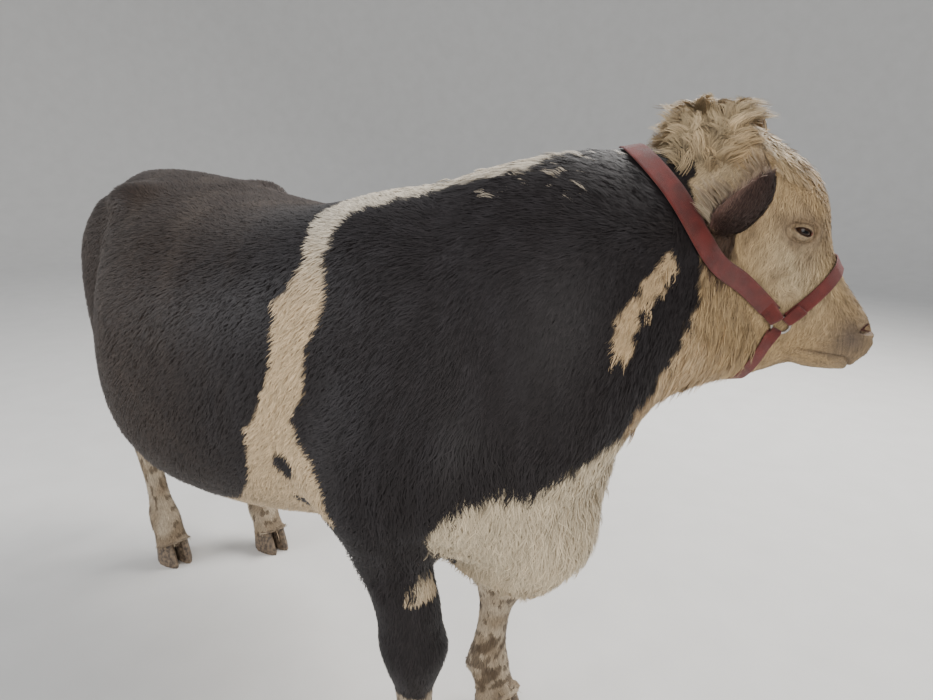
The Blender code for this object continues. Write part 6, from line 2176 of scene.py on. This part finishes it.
def ear_coat(side, word):
    """Short hair over the back and rim of an ear, and longer hair in its hollow."""
    chance = np.random.default_rng(SEED + 90 + side)
    places, corners, normals = read_triangles(ears[side].data)
    turn = ear_turn(side)
    inverse = np.array(turn.inverted())
    axis = np.array(turn.to_3x3())[:, 0]
    opens = np.array(turn.to_3x3())[:, 2]
    roots, outs = scatter(places, corners, normals, 1.0, EAR_TUFTS, chance)
    local = np.c_[roots, np.ones(len(roots))] @ inverse.T
    hollow = outs @ opens > 0.15
    ways = laid_flat(np.tile(axis, (len(roots), 1)), outs)
    length = np.where(hollow, 0.016, 0.011) * chance.uniform(0.7, 1.3, len(roots))
    width = np.full(len(roots), 0.0012)
    lift = np.where(hollow, 0.004, 0.0022) * chance.uniform(0.6, 1.4, len(roots))
    base = np.where(hollow[:, None], np.array((0.36, 0.28, 0.2)), np.array((0.05, 0.027, 0.021)))
    base = mixed(base, (0.1, 0.07, 0.055), hollow * np.clip(wander(roots, 0.03, 91) * 0.8, 0, 1))
    edge = read_line(EAR_HALF_WIDTH, np.clip(local[:, 0] / EAR_LENGTH, 0, 1))[:, 0]
    rim = np.exp(-((np.abs(local[:, 1]) - edge) / 0.006) ** 2)
    base = mixed(base, (0.2, 0.12, 0.095), rim * 0.7)
    root = 1 - ramp(local[:, 0], -0.02, 0.035)
    base = base * (1 - root[:, None]) + coat_colour(roots) * root[:, None]
    colours = base * (1 + 0.2 * chance.normal(0, 1, len(roots)).clip(-2, 2))[:, None]
    curl = np.full(len(roots), 0.001)
    middles, edges, half = strip_points(roots, outs, ways, length, width, lift, curl, chance)
    places = unwrap_ear(roots, side)
    short = coat_mesh("coat_ear_" + word, middles, edges, half, outs, colours, places, SHORT_HAIR)
    guides = []
    starts = []
    spin = turn.to_3x3()
    for _ in range(EAR_LOCKS):
        part = chance.uniform(0.1, 0.8)
        edge = chance.choice((-1, 1))
        half_width = read_line(EAR_HALF_WIDTH, part)[0, 0]
        depth = read_line(EAR_DEPTH, part)[0, 0]
        down = chance.uniform(0.0, 1.0) ** 1.5
        angle = down * 1.1
        y = edge * (half_width - 0.004) * math.cos(angle)
        z = -(depth - EAR_WALL) * math.sin(angle) - EAR_LEAN * part ** 2
        root_spot = turn @ Vector((part * EAR_LENGTH, y, z))
        way = spin @ Vector((0.35, -edge * 0.15 + chance.normal(0, 0.14), 0.9)).normalized()
        sink = spin @ Vector((0.1, edge * 0.35, 0.0))
        length = chance.uniform(0.034, 0.058) * (0.75 + 0.5 * math.sin(math.pi * part))
        points = [root_spot]
        for _ in range(6):
            way = (way + sink * 0.16 + Vector((0, 0, -0.05))).normalized()
            points.append(points[-1] + way * (length / 6))
        guides.append([list(point) for point in points])
        starts.append(list(spin @ Vector((0, edge, 0.2)).normalized()))
    long = locks_along("hair_ear_" + word, guides, starts, *EAR_STRANDS, ear_hair_colour,
                       lambda points: unwrap_ear(points, side), 93 + side)
    return [short, long]


for side, word in SIDES:
    coats.extend(ear_coat(side, word))

# %% Switch of the tail
SWITCH_CREAM = (0.5, 0.41, 0.29)
SWITCH_LOCKS = 230


def switch_guides():
    """Guides of the tassel, hanging from the last third of the tail."""
    chance = np.random.default_rng(SEED + 100)
    guides = []
    normals = []
    for _ in range(SWITCH_LOCKS):
        part = chance.uniform(0.55, 0.93)
        middle = Vector(read_line(TAIL_PATH, part)[0])
        radius = read_line(TAIL_RADIUS, part)[0, 0]
        turn = chance.uniform(0, 2 * math.pi)
        out = Vector((math.cos(turn), math.sin(turn), 0))
        end = middle.z - chance.uniform(0.14, 0.24)
        length = middle.z - max(end, 0.345 + chance.uniform(0, 0.05))
        points = [middle + out * radius * 0.7]
        bow = 0.55 * math.sin(math.pi * min(max((part - 0.5) / 0.5, 0), 1))
        for step in range(8):
            share = step / 7
            way = Vector((0.02, 0, -1)) + out * (0.3 * (1 - share) ** 2 - 0.1 * share) * (0.6 + bow)
            way += Vector((chance.normal(0, 0.05), chance.normal(0, 0.05), 0))
            points.append(points[-1] + way.normalized() * (length / 8))
        guides.append([list(point) for point in points])
        normals.append(list(out))
    return guides, normals


def switch_colour(points):
    """Cream hair, dirtier towards the ground."""
    colours = np.tile(np.array(SWITCH_CREAM), (len(points), 1))
    return mixed(colours, DRY_SOIL, 0.5 * ramp(-points[:, 2], -0.62, -0.4))


guides, normals = switch_guides()
coats.append(locks_along("hair_switch", guides, normals, *SWITCH_STRANDS, switch_colour, unwrap_tail, 101))
print("coat triangles", sum(sum(len(face.vertices) - 2 for face in item.data.polygons) for item in coats))

# %% [markdown]
# Now each piece is moved onto the solids and tied to them. The coat stands for no solid
# by itself: the skin does, and the hair rides along.

# %% Settle every piece
settle(skin, FLESH_NODES)
for side, word in SIDES:
    settle(ears[side], ("ear_" + word,))
    settle(eyes[side], ("eye_" + word,))
    settle(lids[side])
for name, pieces in halter.items():
    node = "halter_" + name
    settle(pieces[0], (node,))
    for piece in pieces[1:]:
        settle(piece)
PALE_COATS = ("coat_head", "coat_legs", "hair_poll", "hair_brow", "hair_brisket", "hair_throat",
              "hair_switch")
for item in coats:
    if item.name.startswith("coat_ear"):
        settle(item)
    elif item.name in PALE_COATS or item.name.startswith("hair_ear"):
        settle(item)
    else:
        settle(item)
print("pieces settled")

# %% [markdown]
# The bull stands on a plain pale floor that bends up into a backdrop far behind it. A
# large soft light hangs above and behind, which edges the hair of the poll with light, and
# two weaker ones fill from the front and from the right. The world gives an even, cool
# fill.

# %% Floor and light
BACKDROP = ((5.0, 0.0), (8.0, 0.0), (9.0, 0.15), (10.0, 0.8), (10.6, 1.8), (10.8, 3.0), (10.9, 4.5))
BACKDROP_STEPS = 64


def add_floor():
    """A wide pale floor that rises all round into a backdrop."""
    bm = bmesh.new()
    rows = []
    for radius, height in BACKDROP:
        row = []
        for step in range(BACKDROP_STEPS):
            turn = 2 * math.pi * step / BACKDROP_STEPS
            row.append(bm.verts.new((radius * math.cos(turn), radius * math.sin(turn), height)))
        rows.append(row)
    bm.faces.new(rows[0])
    for low, high in zip(rows, rows[1:]):
        for step in range(BACKDROP_STEPS):
            after = (step + 1) % BACKDROP_STEPS
            bm.faces.new((low[step], high[step], high[after], low[after]))
    floor = smooth_shaded(mesh_object("floor", bm))
    material, tree, shader = new_material("pale floor", 0.8, 0.3)
    grain = object_noise(tree, 6.0, 5.0)
    colour = two_tones(tree, grain, (0.6, 0.59, 0.57), (0.68, 0.67, 0.65))
    tree.links.new(colour, shader.inputs["Base Color"])
    floor.data.materials.append(material)
    return floor


def add_light(name, place, aim, size, watts, colour):
    """A square soft light aimed at a point."""
    data = bpy.data.lights.new(name, "AREA")
    data.shape = "SQUARE"
    data.size = size
    data.energy = watts
    data.color = colour
    light = bpy.data.objects.new(name, data)
    bpy.context.scene.collection.objects.link(light)
    light.location = place
    light.rotation_euler = (Vector(aim) - Vector(place)).to_track_quat("-Z", "Y").to_euler()
    return light


def add_world(colour, strength):
    """An even light from all round."""
    world = bpy.data.worlds.new("studio")
    world.use_nodes = True
    background = world.node_tree.nodes["Background"]
    background.inputs["Color"].default_value = (*colour, 1)
    background.inputs["Strength"].default_value = strength
    bpy.context.scene.world = world


add_floor()
BODY_MIDDLE = (0.2, 0.0, 0.9)
add_light("high back light", (0.4, 3.4, 4.2), BODY_MIDDLE, 3.2, 420.0, (1.0, 0.98, 0.95))
add_light("front fill", (4.2, -3.6, 2.8), BODY_MIDDLE, 3.5, 190.0, (1.0, 0.97, 0.93))
add_light("side fill", (-2.6, -4.2, 2.6), BODY_MIDDLE, 3.0, 150.0, (0.95, 0.97, 1.0))
add_world((0.92, 0.95, 1.0), 0.58)
print("floor and lights")

# %% [markdown]
# The dressed bull stands only a little proud of the solids, as real hair does.

# %% Update the scene
bpy.context.view_layer.update()
